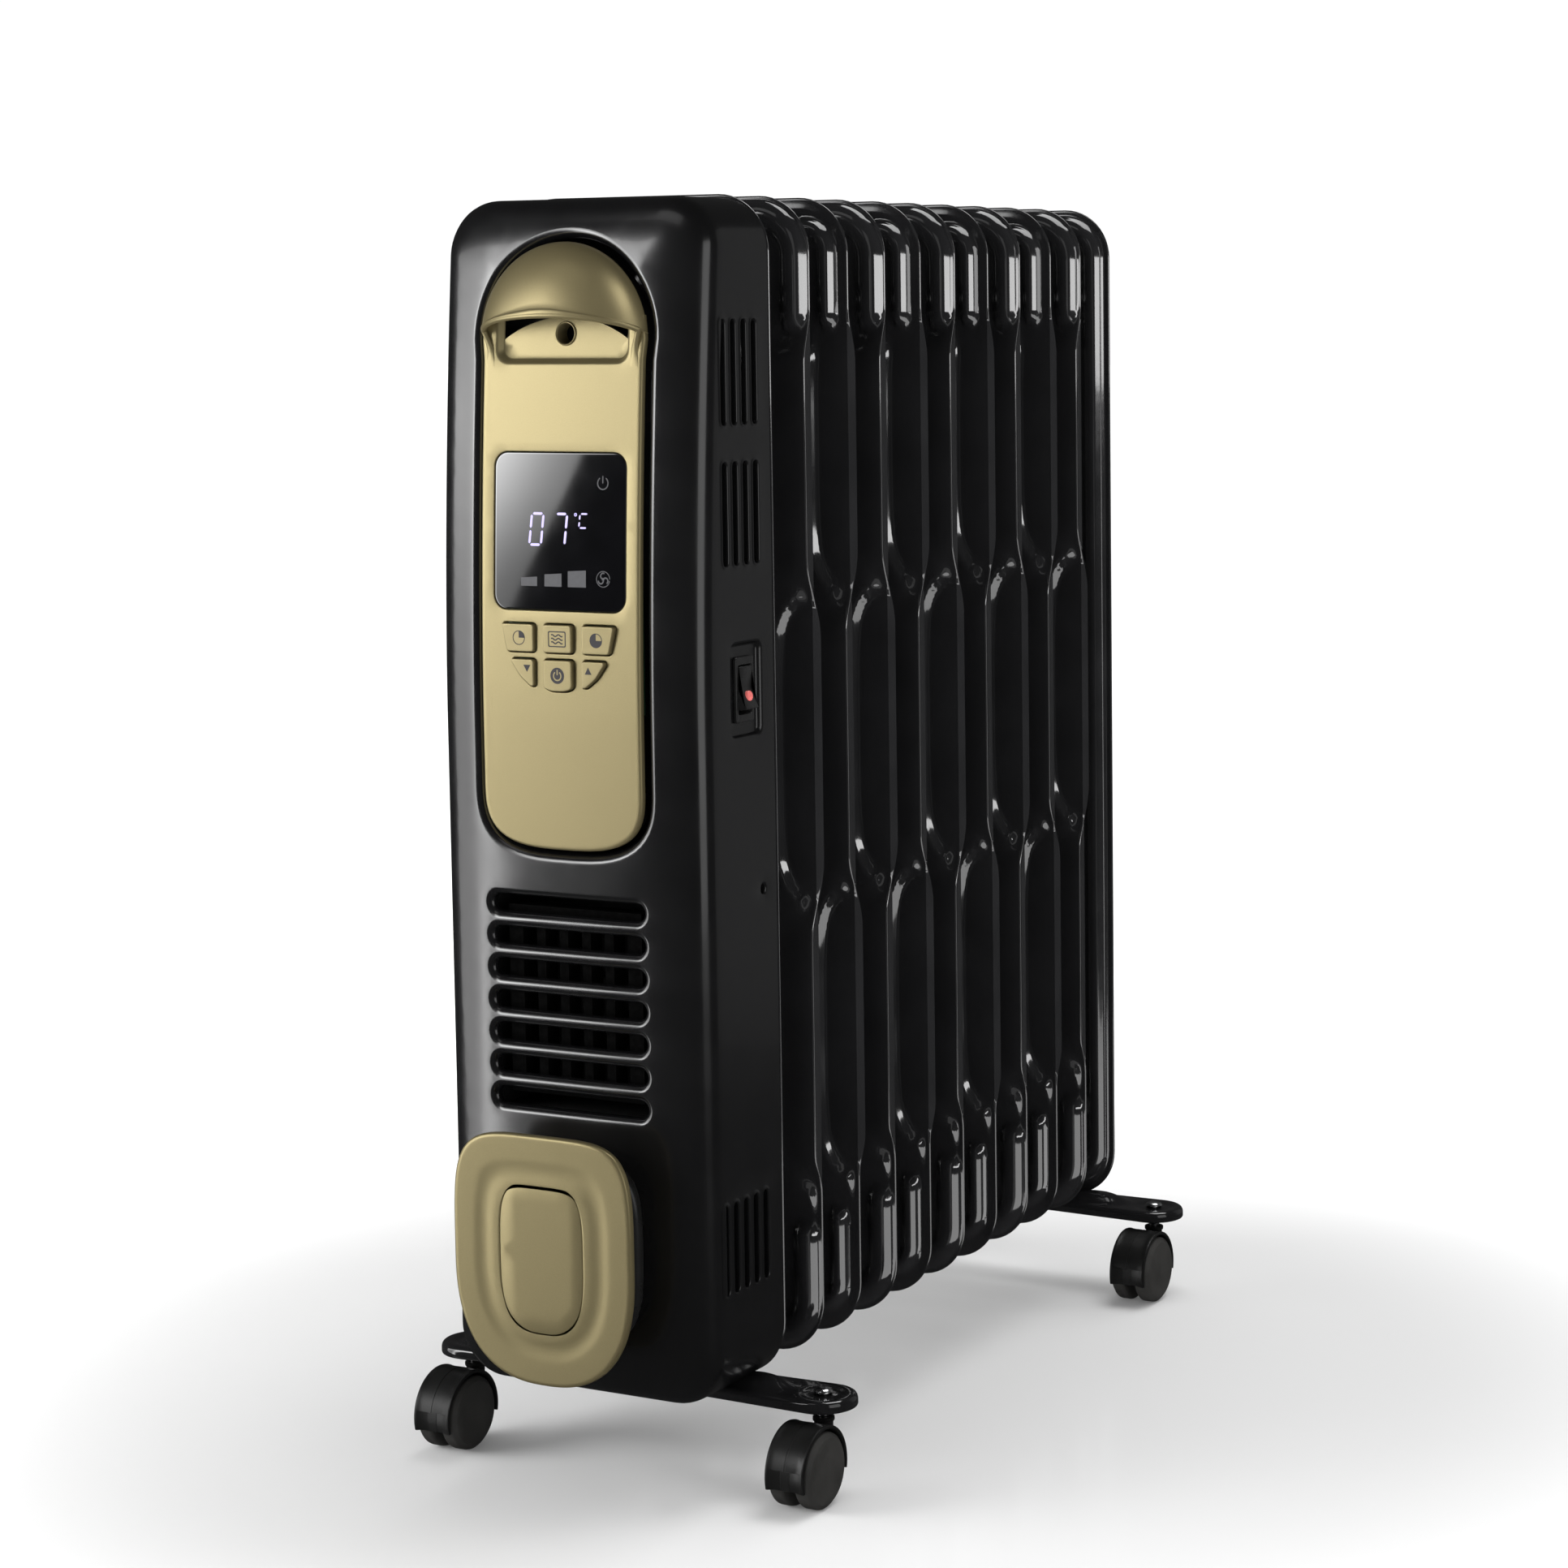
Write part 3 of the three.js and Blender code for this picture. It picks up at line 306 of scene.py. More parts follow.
def material(name, color, roughness, metallic=0.0, coat=0.0, mottle=0.2, mottle_scale=60.0,
             grain=0.0, grain_scale=900.0, rough_spread=0.06, wear=None, emission=None, specular=0.5):
    """Procedural finish: colour mottling, roughness variation, fine surface grain and worn edges."""
    made = bpy.data.materials.new(name)
    made.use_nodes = True
    nodes, links = made.node_tree.nodes, made.node_tree.links
    shader = nodes["Principled BSDF"]
    set_inputs(shader, Metallic=metallic, Coat_Weight=coat, Coat_Roughness=0.04,
               Specular_IOR_Level=specular)
    place = nodes.new("ShaderNodeTexCoord")
    patches = add_node(nodes, "TexNoise", Scale=mottle_scale, Detail=6)
    links.new(place.outputs["Object"], patches.inputs["Vector"])
    tint = nodes.new("ShaderNodeValToRGB")
    for stop, position, change in zip(tint.color_ramp.elements, (0.3, 0.7), (-mottle, mottle)):
        stop.position = position
        stop.color = (*[min(1, c * (1 + change)) for c in color], 1)
    links.new(patches.outputs["Fac"], tint.inputs["Fac"])
    shade = tint.outputs["Color"]
    if wear:
        edges = nodes.new("ShaderNodeNewGeometry")
        pick = add_node(nodes, "MapRange", From_Min=0.56, From_Max=0.72, To_Max=0.35)
        links.new(edges.outputs["Pointiness"], pick.inputs["Value"])
        blend = nodes.new("ShaderNodeMix")
        blend.data_type = "RGBA"
        blend.inputs["B"].default_value = (*wear, 1)
        links.new(pick.outputs["Result"], blend.inputs["Factor"])
        links.new(shade, blend.inputs["A"])
        shade = blend.outputs["Result"]
    links.new(shade, shader.inputs["Base Color"])
    gloss = add_node(nodes, "MapRange", From_Min=0.3, From_Max=0.7,
                     To_Min=max(0.02, roughness - rough_spread), To_Max=roughness + rough_spread)
    links.new(patches.outputs["Fac"], gloss.inputs["Value"])
    links.new(gloss.outputs["Result"], shader.inputs["Roughness"])
    if grain:
        fine = add_node(nodes, "TexNoise", Scale=grain_scale, Detail=3)
        links.new(place.outputs["Object"], fine.inputs["Vector"])
        bump = add_node(nodes, "Bump", Strength=grain, Distance=0.0002)
        links.new(fine.outputs["Fac"], bump.inputs["Height"])
        links.new(bump.outputs["Normal"], shader.inputs["Normal"])
    if emission:
        glow_color, strength = emission
        set_inputs(shader, Emission_Color=(*glow_color, 1), Emission_Strength=strength)
    return made


enamel = material("black_enamel", (0.009, 0.009, 0.0095), 0.10, coat=0.5, mottle=0.15,
                  mottle_scale=35, grain=0.04, grain_scale=260, rough_spread=0.035)
cover_enamel = material("cover_enamel", (0.004, 0.004, 0.0043), 0.22, coat=0.2, mottle=0.12,
                        mottle_scale=40, grain=0.015, rough_spread=0.03, specular=0.9)
gold = material("champagne_gold", (0.29, 0.243, 0.126), 0.38, metallic=0.75, mottle=0.05,
                mottle_scale=2600, grain=0.16, grain_scale=2400, rough_spread=0.05,
                wear=(0.42, 0.37, 0.24))
plastic = material("black_plastic", (0.012, 0.012, 0.012), 0.28, grain=0.15, grain_scale=1500,
                   wear=(0.03, 0.03, 0.03))
castor_nylon = material("castor_nylon", (0.008, 0.008, 0.0078), 0.36, grain=0.3,
                        grain_scale=1800, wear=(0.03, 0.03, 0.03), specular=0.3)
wheel_nylon = material("wheel_nylon", (0.036, 0.035, 0.033), 0.5, grain=0.35,
                       grain_scale=1800, wear=(0.055, 0.054, 0.052), specular=0.25)
steel = material("bright_steel", (0.62, 0.62, 0.63), 0.2, metallic=1.0, mottle=0.1, mottle_scale=300,
                 grain=0.15, grain_scale=1200)
grey_plastic = material("grey_plastic", (0.012, 0.012, 0.012), 0.7, grain=0.3,
                        grain_scale=1500, specular=0.2)
# The heater grid behind the louvres: its own black coating, made darker still and without any sheen so
# the inside shows black, partly painted shade.
grid_coat_and_shade = material("heater_grid", (0.003, 0.003, 0.003), 0.9, mottle=0.3, mottle_scale=400,
                      specular=0.0)
glass = material("display_glass", (0.0015, 0.0015, 0.002), 0.04, coat=1.0, mottle=0.3, rough_spread=0.015)
board_green = material("circuit_board", (0.02, 0.08, 0.035), 0.45, mottle=0.3, mottle_scale=500)
red_lens = material("red_lens", (0.62, 0.14, 0.13), 0.22, mottle_scale=500,
                    emission=((1.0, 0.2, 0.17), 0.16))
led = material("led_light", (0.25, 0.23, 0.4), 0.4, mottle=0.05, emission=((0.55, 0.48, 0.95), 0.75))
led_dim = material("led_dim", (0.045, 0.045, 0.05), 0.45, mottle=0.15, mottle_scale=400)
ink = material("key_ink", (0.03, 0.028, 0.032), 0.7, mottle=0.15, mottle_scale=900)
# Near black: the sheet behind the finger pocket stands in for the shade in its hollow, painted shade.
shade_sheet_paint = material("pocket_liner", (0.006, 0.006, 0.006), 0.6, grain=0.2)

SLOT_LOOKS = {
    "black_enamel": enamel, "gold_finish": gold, "black_plastic": plastic,
    "castor_plastic": castor_nylon, "bright_steel": steel, "grey_plastic": grey_plastic,
    "heater_grid": grid_coat_and_shade, "display_glass": glass, "circuit_board": board_green,
    "red_lens": red_lens,
}
for subpart in frame["record"]["subparts"]:
    node_mesh = frame["nodes"][subpart["node"]].data
    node_mesh.materials.clear()
    node_mesh.materials.append(SLOT_LOOKS[subpart["material_slot"]])

# ---------- driving dimensions, the same as the CAD's ----------

HALF_WIDTH = 75
FIN_BOTTOM, FIN_TOP = 51.5, 631.5
FIN_CORNER = 28
FIN_PITCH = 38.4
FIRST_FIN_Y = -108.6
FRONT_END_Y = -147.0
REAR_END_Y = 237.0
COVER_FRONT_Y = -221.0
COVER_BACK_Y = -149.3
COVER_BOTTOM, COVER_TOP = 52.0, 629.5
PANEL_Y = -221.5
DOME_Z, DOME_RADIUS, DOME_DEPTH = 563, 46, 22


def lean_back(z):
    """The housing's front leans back above its middle."""
    return 12.5 * (max(0.0, z - 381.5) / 230) ** 1.7


# ---------- fins: two pressed sheets welded round a waving edge ----------

FIN_INSETS = [0, 0.25, 0.7, 1.3, 1.9, 2.6, 3.3, 4.1, 4.9, 5.7, 6.5, 7.3, 8.2, 9.1, 10, 10.9, 11.8, 12.7,
              13.6, 14.5, 15.4, 16.3, 17.4, 18.8, 20.2, 21.4, 22.4, 23.6, 26, 30, 35, 41, 48, 56, 65, 74]
WAVE = [(135.5, 0), (156, 1), (264, 1), (302, -1), (414, -1), (455, 1), (550, 1), (577, 0)]
WAVE_SWING = 6
LOBES = [(135.5, 283), (283, 434), (434, 577)]
SHEET = 0.7                       # half the thickness of the welded edge
FLANGE = 2.4
PLATEAU = 4.6
HEADERS = (FIN_BOTTOM + 40, FIN_TOP - 62)
RIDGES = {                        # side inset, end inset, corner radius, half width, height
    "wide": (8.6, 9.6, 20, 7.4, 5.2),
    "narrow": (11.2, 15.5, 12, 5.2, 5.6),
}
RIDGE_END_TOP, RIDGE_END_BOTTOM = 572, 112


def edge_swing(z):
    """Which way the welded edge is pushed at each height, from -1 to 1."""
    values = np.zeros_like(z)
    for (z0, a), (z1, b) in zip(WAVE, WAVE[1:]):
        part = (z >= z0) & (z < z1)
        values[part] = a + (b - a) * smooth((z[part] - z0) / (z1 - z0))
    return values


def ridge_height(x, z, kind):
    """An inverted U at the top of the fin and an upright one at the bottom."""
    side, end, corner, half, height = RIDGES[kind]
    total = np.zeros_like(x)
    for upward, limit, stop in ((1, FIN_TOP - end, RIDGE_END_TOP),
                                (-1, -(FIN_BOTTOM + end), -RIDGE_END_BOTTOM)):
        up_z = z * upward
        ax = np.abs(x) - (HALF_WIDTH - side - corner)
        az = up_z - (limit - corner)
        past = np.hypot(np.maximum(ax, 0), np.maximum(az, 0))
        bend = past + np.minimum(np.maximum(ax, az), 0) - corner
        leg = np.hypot(np.abs(x) - (HALF_WIDTH - side), stop - up_z)
        distance = np.where(up_z > stop, np.abs(bend), leg)
        total = np.maximum(total, height * np.maximum(0, 1 - (distance / half) ** 2) ** 0.68)
    return total


def pressed_height(x, z, inset, push, kind):
    """How far a sheet stands out of the fin's middle plane, where its edge is pushed by a swing."""
    middle = smooth((z - 122) / 16) * smooth((564 - z) / 14)
    if kind == "end":
        loop = np.abs(inset - 10.5)
        ridge = 5.0 * np.maximum(0, 1 - (loop / 6.5) ** 2) ** 0.72
        for column in (-26, 0, 26):
            reach = np.hypot(x - column, np.maximum(0, np.abs(z - 341.5) - 205))
            ridge = np.maximum(ridge, 4.2 * np.maximum(0, 1 - (reach / 9) ** 2) ** 0.8)
        return SHEET + ridge
    share = np.zeros_like(z)
    for low, high in LOBES:
        q = np.abs((z - (low + high) / 2) / ((high - low) / 2))
        share = np.maximum(share, np.maximum(0, 1 - q ** 5) ** 0.6)
    reach = 5.8 + 17 * share
    d = np.clip((inset - FLANGE) / (reach - FLANGE), 0, 1)
    rise = np.where(push < 0, d ** 2.2, smooth(d))
    plateau = 0.9 + (PLATEAU - 0.9) * middle
    for groove in (12, 38):
        plateau = plateau - 2.2 * middle * np.exp(-((np.abs(x) - groove) / 3) ** 2)
    for boss_z in HEADERS:
        plateau = np.maximum(plateau, 0.9 + 3.6 * smooth((29 - np.hypot(x, z - boss_z)) / 6))
    flange = SHEET + push
    height = flange + (plateau - flange) * rise
    return np.maximum(height, SHEET + ridge_height(x, z, kind))


def make_fin(name, y, swing, kinds):
    """kinds names the pressing on the front and on the back of the fin."""
    surface = Surface()
    for outward, kind in zip((-1, 1), kinds):
        rings = []
        for inset in FIN_INSETS:
            outline = body_outline(FIN_BOTTOM, FIN_TOP, inset, max(0.6, FIN_CORNER - inset), (180, 14))
            x, z = outline[:, 0], outline[:, 1]
            wave = edge_swing(z) * swing * WAVE_SWING
            out = pressed_height(x, z, inset, wave * outward, kind)
            if inset < SHEET:
                out = wave * outward + SHEET * math.sqrt(1 - ((SHEET - inset) / SHEET) ** 2)
            rings.append(np.column_stack((x, y + outward * out, z)))
        surface.loft(rings, cap_last=True)
    surface.piece(name + "_sheets", enamel, "black_enamel", [name], sharp=60)
    collars(name, y)


def collars(name, y):
    """The pressed collars that carry the oil on to the next fin."""
    surface = Surface()
    for z in HEADERS:
        front = 3 if name == "front_end_fin" else -FIN_PITCH / 2 + 0.2
        back = -3 if name == "rear_end_fin" else FIN_PITCH / 2 - 0.2
        turned(surface, [(0, front), (18.2, front), (19, front + 0.8),
                         (19, back - 0.8), (18.2, back), (0, back)], (0, y, z), axis="Y", segments=36)
    surface.piece(name + "_collars", enamel, "black_enamel", sharp=40)


for number in range(1, 10):
    swing_way = -1 if number % 2 else 1
    make_fin(f"fin_{number}", FIRST_FIN_Y + (number - 1) * FIN_PITCH, swing_way,
             ("wide", "narrow") if number % 2 else ("narrow", "wide"))
make_fin("front_end_fin", FRONT_END_Y, 0, ("end", "end"))
make_fin("rear_end_fin", REAR_END_Y, 0, ("end", "end"))

# ---------- front housing ----------

ROUND_POWER = 3.5
ROUND_DEPTH = 20
FRONT_RING = 11.5                 # inset at which the structured rounding gives way to the flat fill


def round_sag(inset):
    u = 1 - min(inset, HALF_WIDTH) / HALF_WIDTH
    return ROUND_DEPTH * (1 - (1 - u ** ROUND_POWER) ** (1 / ROUND_POWER))


def cover_radius(inset):
    return max(6, 25 - 0.6 * inset)


def cover_outline(inset):
    return body_outline(COVER_BOTTOM, COVER_TOP, inset, cover_radius(inset), (72, 14))


def cover_front(x, z, depth=0.0):
    """A point of the housing's front: it leans back, and falls away towards its edges."""
    half_x = HALF_WIDTH - FRONT_RING
    half_z = (COVER_TOP - COVER_BOTTOM) / 2 - FRONT_RING
    radius = cover_radius(FRONT_RING)
    qx = abs(x) - (half_x - radius)
    qz = abs(z - (COVER_TOP + COVER_BOTTOM) / 2) - (half_z - radius)
    within = radius - (math.hypot(max(qx, 0), max(qz, 0)) + min(max(qx, qz), 0))
    return (x, COVER_FRONT_Y + round_sag(FRONT_RING + max(0, within)) + lean_back(z) + depth, z)


PANEL_BOTTOM, PANEL_CORNER_Z = 320, 351.5


def panel_half(z, grow=0.0):
    """Half width of the control panel: square lower corners, half-round top."""
    bottom, corner_top, half = PANEL_BOTTOM - grow, PANEL_CORNER_Z, 45 + grow
    if z < corner_top:
        drop = min(1, (corner_top - z) / (corner_top - bottom))
        return half * (1 - drop ** 3.1) ** (1 / 3.1)
    if z < DOME_Z - 10:
        return half
    dome = DOME_RADIUS + grow
    if z < DOME_Z:
        return half + (dome - half) * (z - DOME_Z + 10) / 10
    return math.sqrt(max(0, dome ** 2 - (z - DOME_Z) ** 2))


def panel_outline(grow=0.0, top=None):
    """The whole outline, or only the part below a height, from the right side round to the left."""
    bottom = PANEL_BOTTOM - grow
    rise = (PANEL_CORNER_Z - bottom) * (1 - np.cos(np.linspace(0.04, np.pi / 2, 16)))
    heights = list(bottom + rise) + list(np.linspace(360, DOME_Z - 10, 32)) + [DOME_Z - 5, DOME_Z]
    if top is None:
        heights += list(DOME_Z + (DOME_RADIUS + grow) * np.sin(np.radians(np.linspace(5, 88, 18))))
    else:
        heights = [h for h in heights if h < top - 0.5] + [top, top + 1.5]
    side = [(panel_half(h, grow), h) for h in heights]
    other_side = [(-x, h) for x, h in reversed(side)]
    return np.array(side + other_side if top is None else other_side + side)


# Each lip is a list of how far out from the opening, and how deep.
LOUVRE_PROFILE = [(3.68, 0), (3.2, 0.06), (2.6, 0.25), (2.0, 0.55), (1.4, 0.98), (0.85, 1.5),
                  (0.4, 2.15), (0.1, 3), (0, 3.9), (0, 5)]
PANEL_LIP = [(6.8, 0), (6.2, 0.04), (5.4, 0.2), (4.6, 0.55), (3.8, 1.1), (3.1, 1.8), (2.5, 2.7),
             (2.0, 3.8), (1.6, 5.2), (1.4, 7), (1.4, 9)]
VENT_LIP = [(2.1, 0), (1.7, -0.06), (1.2, -0.22), (0.75, -0.3), (0.35, -0.18), (0.1, 0.15),
            (0, 0.9), (0, 2.4)]
RECESS_LIP = [(2.2, 0), (1.6, 0.06), (1.0, 0.25), (0.5, 0.65), (0.1, 1.2), (-0.2, 1.8),
              (-0.6, 2.3), (-1.3, 2.5)]
SCREW_LIP = [(1.2, 0), (0.7, 0.1), (0.3, 0.4), (0, 1), (0, 2.5)]
ROCKER_Y, ROCKER_Z = -174.5, 395.7

housing = Surface()
ROUND_ANGLES = [0, 3, 7, 12, 18, 24, 30, 36, 42, 47]
insets = [HALF_WIDTH * (1 - math.cos(math.radians(a)) ** (2 / ROUND_POWER)) for a in ROUND_ANGLES]
insets = [i for i in insets if i < FRONT_RING - 1.5] + [FRONT_RING]
round_rings = [[(x, COVER_FRONT_Y + round_sag(inset) + lean_back(z), z) for x, z in cover_outline(inset)]
               for inset in insets]
housing.loft(round_rings)

# The walls: flat sides are filled round their holes, and the corners, top and bottom are plain bands.
wall = cover_outline(0)
side_y = [ring[1] for ring in round_rings[0]]
count = len(wall)
ARC, LONG, SHORT = 13, 71, 13     # points in one corner, and between corners, along the outline
corner_starts = [0, ARC + LONG, 2 * ARC + LONG + SHORT, 3 * ARC + 2 * LONG + SHORT]
bands = [  # indices from the end of one long side to the start of the other
    [i % count for i in range(corner_starts[1], corner_starts[3] - LONG)],
    [i % count for i in range(corner_starts[3], count + ARC)],
]
for band in bands:
    housing.loft([[(wall[i][0], side_y[i], wall[i][1]) for i in band],
                  [(wall[i][0], COVER_BACK_Y, wall[i][1]) for i in band]], closed=False)
housing.loft([[(x, COVER_BACK_Y, z) for x, z in wall],
              [(x, COVER_BACK_Y, z) for x, z in cover_outline(1.6)],
              [(x, COVER_BACK_Y - 6, z) for x, z in cover_outline(1.6)]])

# Number of slots, first slot's y, pitch, middle height and half length.
SIDE_VENTS = [(4, -191.5, 9.45, 546.8, 24.8), (4, -191.5, 9.45, 480, 24.5), (5, -200.9, 9.2, 128, 22)]
vents = [capsule(first + i * pitch, z, half, 2.2, True, steps=6)
         for number, first, pitch, z, half in SIDE_VENTS for i in range(number)]
for side in (1, -1):
    column = [i for i in range(count) if abs(wall[i][0] - side * HALF_WIDTH) < 1e-6]
    column.sort(key=lambda i: wall[i][1])
    outer = np.array([(COVER_BACK_Y, wall[i][1]) for i in reversed(column)]
                     + [(side_y[i], wall[i][1]) for i in column])
    lift = lambda y, z, depth=0.0, side=side: (side * (HALF_WIDTH - depth), y, z)
    holes = [offset(v, VENT_LIP[0][0]) for v in vents]
    for vent in vents:
        housing.lip(vent, VENT_LIP, lift)
    if side > 0:
        recess = rounded_rect(ROCKER_Y, ROCKER_Z, 13, 22, 3.5, steps=6, straight=(8, 5))
        screw = capsule(-161.5, 297.5, 2.3, 1.9, True, steps=6)
        holes += [offset(recess, RECESS_LIP[0][0]), offset(screw, SCREW_LIP[0][0])]
        housing.lip(recess, RECESS_LIP, lift)
        housing.lip(screw, SCREW_LIP, lift)
        floor_hole = rounded_rect(ROCKER_Y, ROCKER_Z, 7.5, 14.5, 1, steps=3)
        housing.fill(offset(recess, RECESS_LIP[-1][0]), [floor_hole],
                     lambda y, z: lift(y, z, RECESS_LIP[-1][1]), 4)
    housing.fill(outer, holes, lift, 9)

louvres = [capsule(0, 292 - i * 15.8, 43, 4.2) for i in range(7)]
opening = panel_outline(0)
for slot_outline in louvres:
    housing.lip(slot_outline, LOUVRE_PROFILE, cover_front)
housing.lip(opening, PANEL_LIP, cover_front)
front_holes = [offset(opening, PANEL_LIP[0][0])]
front_holes += [offset(slot_outline, LOUVRE_PROFILE[0][0]) for slot_outline in louvres]
housing.fill(cover_outline(FRONT_RING), front_holes, cover_front, 5)
housing.piece("front_housing", cover_enamel, "black_enamel", ["front_cover"], sharp=50)

# ---------- control panel: plate, hood and finger pocket ----------

PLATE_EDGE = [(0, 3.2), (0, 1.3), (0.15, 0.75), (0.5, 0.3), (1.0, 0.07), (1.7, 0), (2.6, 0)]
HOOD_Y = PANEL_Y + lean_back(DOME_Z)
HOOD_CENTRE_Y = HOOD_Y + 3
RIM_Z, RIM_SLOPE = 566.5, 0.4375
PLATE_TOP = 574
POCKET = {"half": 38, "bottom": 550.8, "corner": 7, "bevel": 3.2}


def panel_front(x, z, depth=0.0):
    return (x, PANEL_Y + lean_back(z) + depth, z)


def mirrored(points):
    return [(-x, z) for x, z in reversed(points)]


OUTER_KEY = [(13.8, 414.8), (29, 414.8), (32, 428), (13.8, 428)]
CORNER_KEY = [(13.8, 398.5), (15.6, 398.5), (21.5, 403), (26.3, 409.7), (26, 411.2), (13.8, 411.2)]
KEYS = {
    "key_on_timer": mirrored(OUTER_KEY),
    "key_heat_mode": [(-8, 414.8), (8, 414.8), (8, 428), (-8, 428)],
    "key_off_timer": OUTER_KEY,
    "key_down": mirrored(CORNER_KEY),
    "key_power": [(-8, 398), (-4, 396.5), (4, 396.5), (8, 398), (8, 411.2), (-8, 411.2)],
    "key_up": CORNER_KEY,
}
KEY_PROUD, KEY_CORNER = 2.0, 1.6
KEY_LIP = [(1.25, 0), (1.0, 0), (0.8, 0.1), (0.62, 0.35), (0.55, 0.9), (0.55, 4)]

panel = Surface()
below_hood = panel_outline(0, top=PLATE_TOP)
panel.loft([[panel_front(x, z, depth) for x, z in offset(below_hood, -inset)[1:-1]]
            for inset, depth in PLATE_EDGE], closed=False)
plate_rim = offset(below_hood, -PLATE_EDGE[-1][0])[1:-1]


def pocket_path(shrink):
    """The open D of the pocket's mouth, from its right end down and round to its left end."""
    half, corner = POCKET["half"] - shrink, POCKET["corner"] - shrink * 0.6
    bottom = POCKET["bottom"] + shrink
    top = plate_rim[-1][1]
    return np.vstack(([(half, top)], arc(half - corner, bottom + corner, corner, 0, -90, 8),
                      arc(-half + corner, bottom + corner, corner, -90, -180, 8), [(-half, top)]))


display = rounded_rect(0, 472.2, 37.1, 37.4, 7, steps=8, straight=(10, 10))
DISPLAY_LIP = [(0.9, 0), (0.6, 0.05), (0.4, 0.2), (0.35, 0.6), (0.35, 3)]
holes = [offset(display, DISPLAY_LIP[0][0])]
panel.lip(display, DISPLAY_LIP, panel_front)
for points in KEYS.values():
    outline = softened(points, KEY_CORNER)
    holes.append(offset(outline, KEY_LIP[0][0]))
    panel.lip(outline, KEY_LIP, panel_front)
panel.fill(np.vstack((plate_rim, pocket_path(0))), holes, panel_front, 5)
POCKET_BEVEL = [(0, 0), (0.5, 0.12), (1.1, 0.6), (2.3, 2.3), (2.8, 2.95), (3.2, 3.2)]
panel.loft([[panel_front(x, z, depth) for x, z in pocket_path(shrink)]
            for shrink, depth in POCKET_BEVEL], closed=False)

# The pocket's face has an arched top, with a slot above it that shows dark from the painted shade tub
# behind, and a ringed hole in the middle.
face_half = POCKET["half"] - POCKET["bevel"]
arch_sag, arch_top = 10.5, 573.5
arch_radius = (face_half ** 2 + arch_sag ** 2) / (2 * arch_sag)
arch_spread = math.degrees(math.asin(face_half / arch_radius))
arch = arc(0, arch_top - arch_radius, arch_radius, 90 - arch_spread, 90 + arch_spread, 24)
lower = pocket_path(POCKET["bevel"])[::-1]
face = np.vstack((arch, lower[(lower[:, 1] < arch_top - arch_sag - 0.5)]))
HOLE_Z, HOLE_RADIUS = 565.6, 5.9
HOLE_RIM = [(5.9, 0), (5.8, -0.5), (5.5, -0.8), (5.2, -0.75), (4.9, -0.4), (4.8, 0.5), (4.8, 8)]
hole = disc(0, HOLE_Z, HOLE_RADIUS)


def pocket_front(x, z, depth=0.0):
    return (x, HOOD_Y + lean_back(z) - lean_back(DOME_Z) + POCKET_BEVEL[-1][1] + depth, z)


panel.fill(face, [hole], pocket_front, 4)
panel.loft([[pocket_front(x, z, depth) for x, z in disc(0, HOLE_Z, radius)]
            for radius, depth in HOLE_RIM])
panel.loft([[pocket_front(x, z, d) for x, z in arch] for d in (0, 0.4, 2.2)], closed=False)


def hood_point(theta, psi, shrink=0.0):
    """A point of the domed hood: theta goes round its middle, psi is 0 at its foremost point."""
    a, c = DOME_RADIUS - 0.2 - shrink, DOME_DEPTH - shrink
    return np.array((a * math.sin(psi) * math.cos(theta), HOOD_CENTRE_Y - c * math.cos(psi),
                     DOME_Z + a * math.sin(psi) * math.sin(theta)))


def rim_height(y):
    """The hood's rim rises towards the front."""
    return RIM_Z - RIM_SLOPE * (y - HOOD_Y)


def rim_angle(theta):
    """Where the dome meets the rim's slanting plane, found by halving."""
    low, high = 0.0, math.pi / 2
    for _ in range(40):
        middle = (low + high) / 2
        point = hood_point(theta, middle)
        if point[2] > rim_height(point[1]):
            high = middle
        else:
            low = middle
    return high


HOOD_START = math.asin((rim_height(HOOD_CENTRE_Y) - DOME_Z) / (DOME_RADIUS - 0.2)) + 0.002
thetas = HOOD_START + (math.pi - 2 * HOOD_START) * (1 - np.cos(np.linspace(0, np.pi, 73))) / 2
ends = [rim_angle(t) for t in thetas]
LIP_ANGLE = 0.075                 # the raised lip along the rim starts this far above it
LIP_SWELL = [(0.9, 0.12), (0.78, 0.4), (0.6, 0.55), (0.3, 0.6), (0.08, 0.5)]
RIM_ROLL = [(0.1, -0.35), (0.8, -0.7), (1.6, -0.6), (2.3, -0.1), (2.6, 0.6)]
QUARTER = math.pi / 2


def hood_row(angle_of, shrink=0.0, rise=0.0):
    """One row of the hood from its right end to its left; angle_of works on the rim's angle."""
    return [hood_point(t, angle_of(e), shrink) + np.array((0, 0, rise)) for t, e in zip(thetas, ends)]


hood_rows = [hood_row(lambda e: QUARTER + (min(QUARTER, e + LIP_ANGLE) - QUARTER) * k / 22)
             for k in range(23)]
hood_rows += [hood_row(lambda e: min(QUARTER, e + LIP_ANGLE * share), -proud)
              for share, proud in LIP_SWELL]
hood_rows += [hood_row(lambda e: e, shrink, rise) for shrink, rise in RIM_ROLL]
inner_shrink, inner_rise = RIM_ROLL[-1]
for share in [1 - k / 6 for k in range(1, 7)]:
    hood_rows.append(hood_row(lambda e: QUARTER - (QUARTER - e) * share, inner_shrink,
                              inner_rise * share))
hood = Surface()
hood.loft(hood_rows, closed=False)

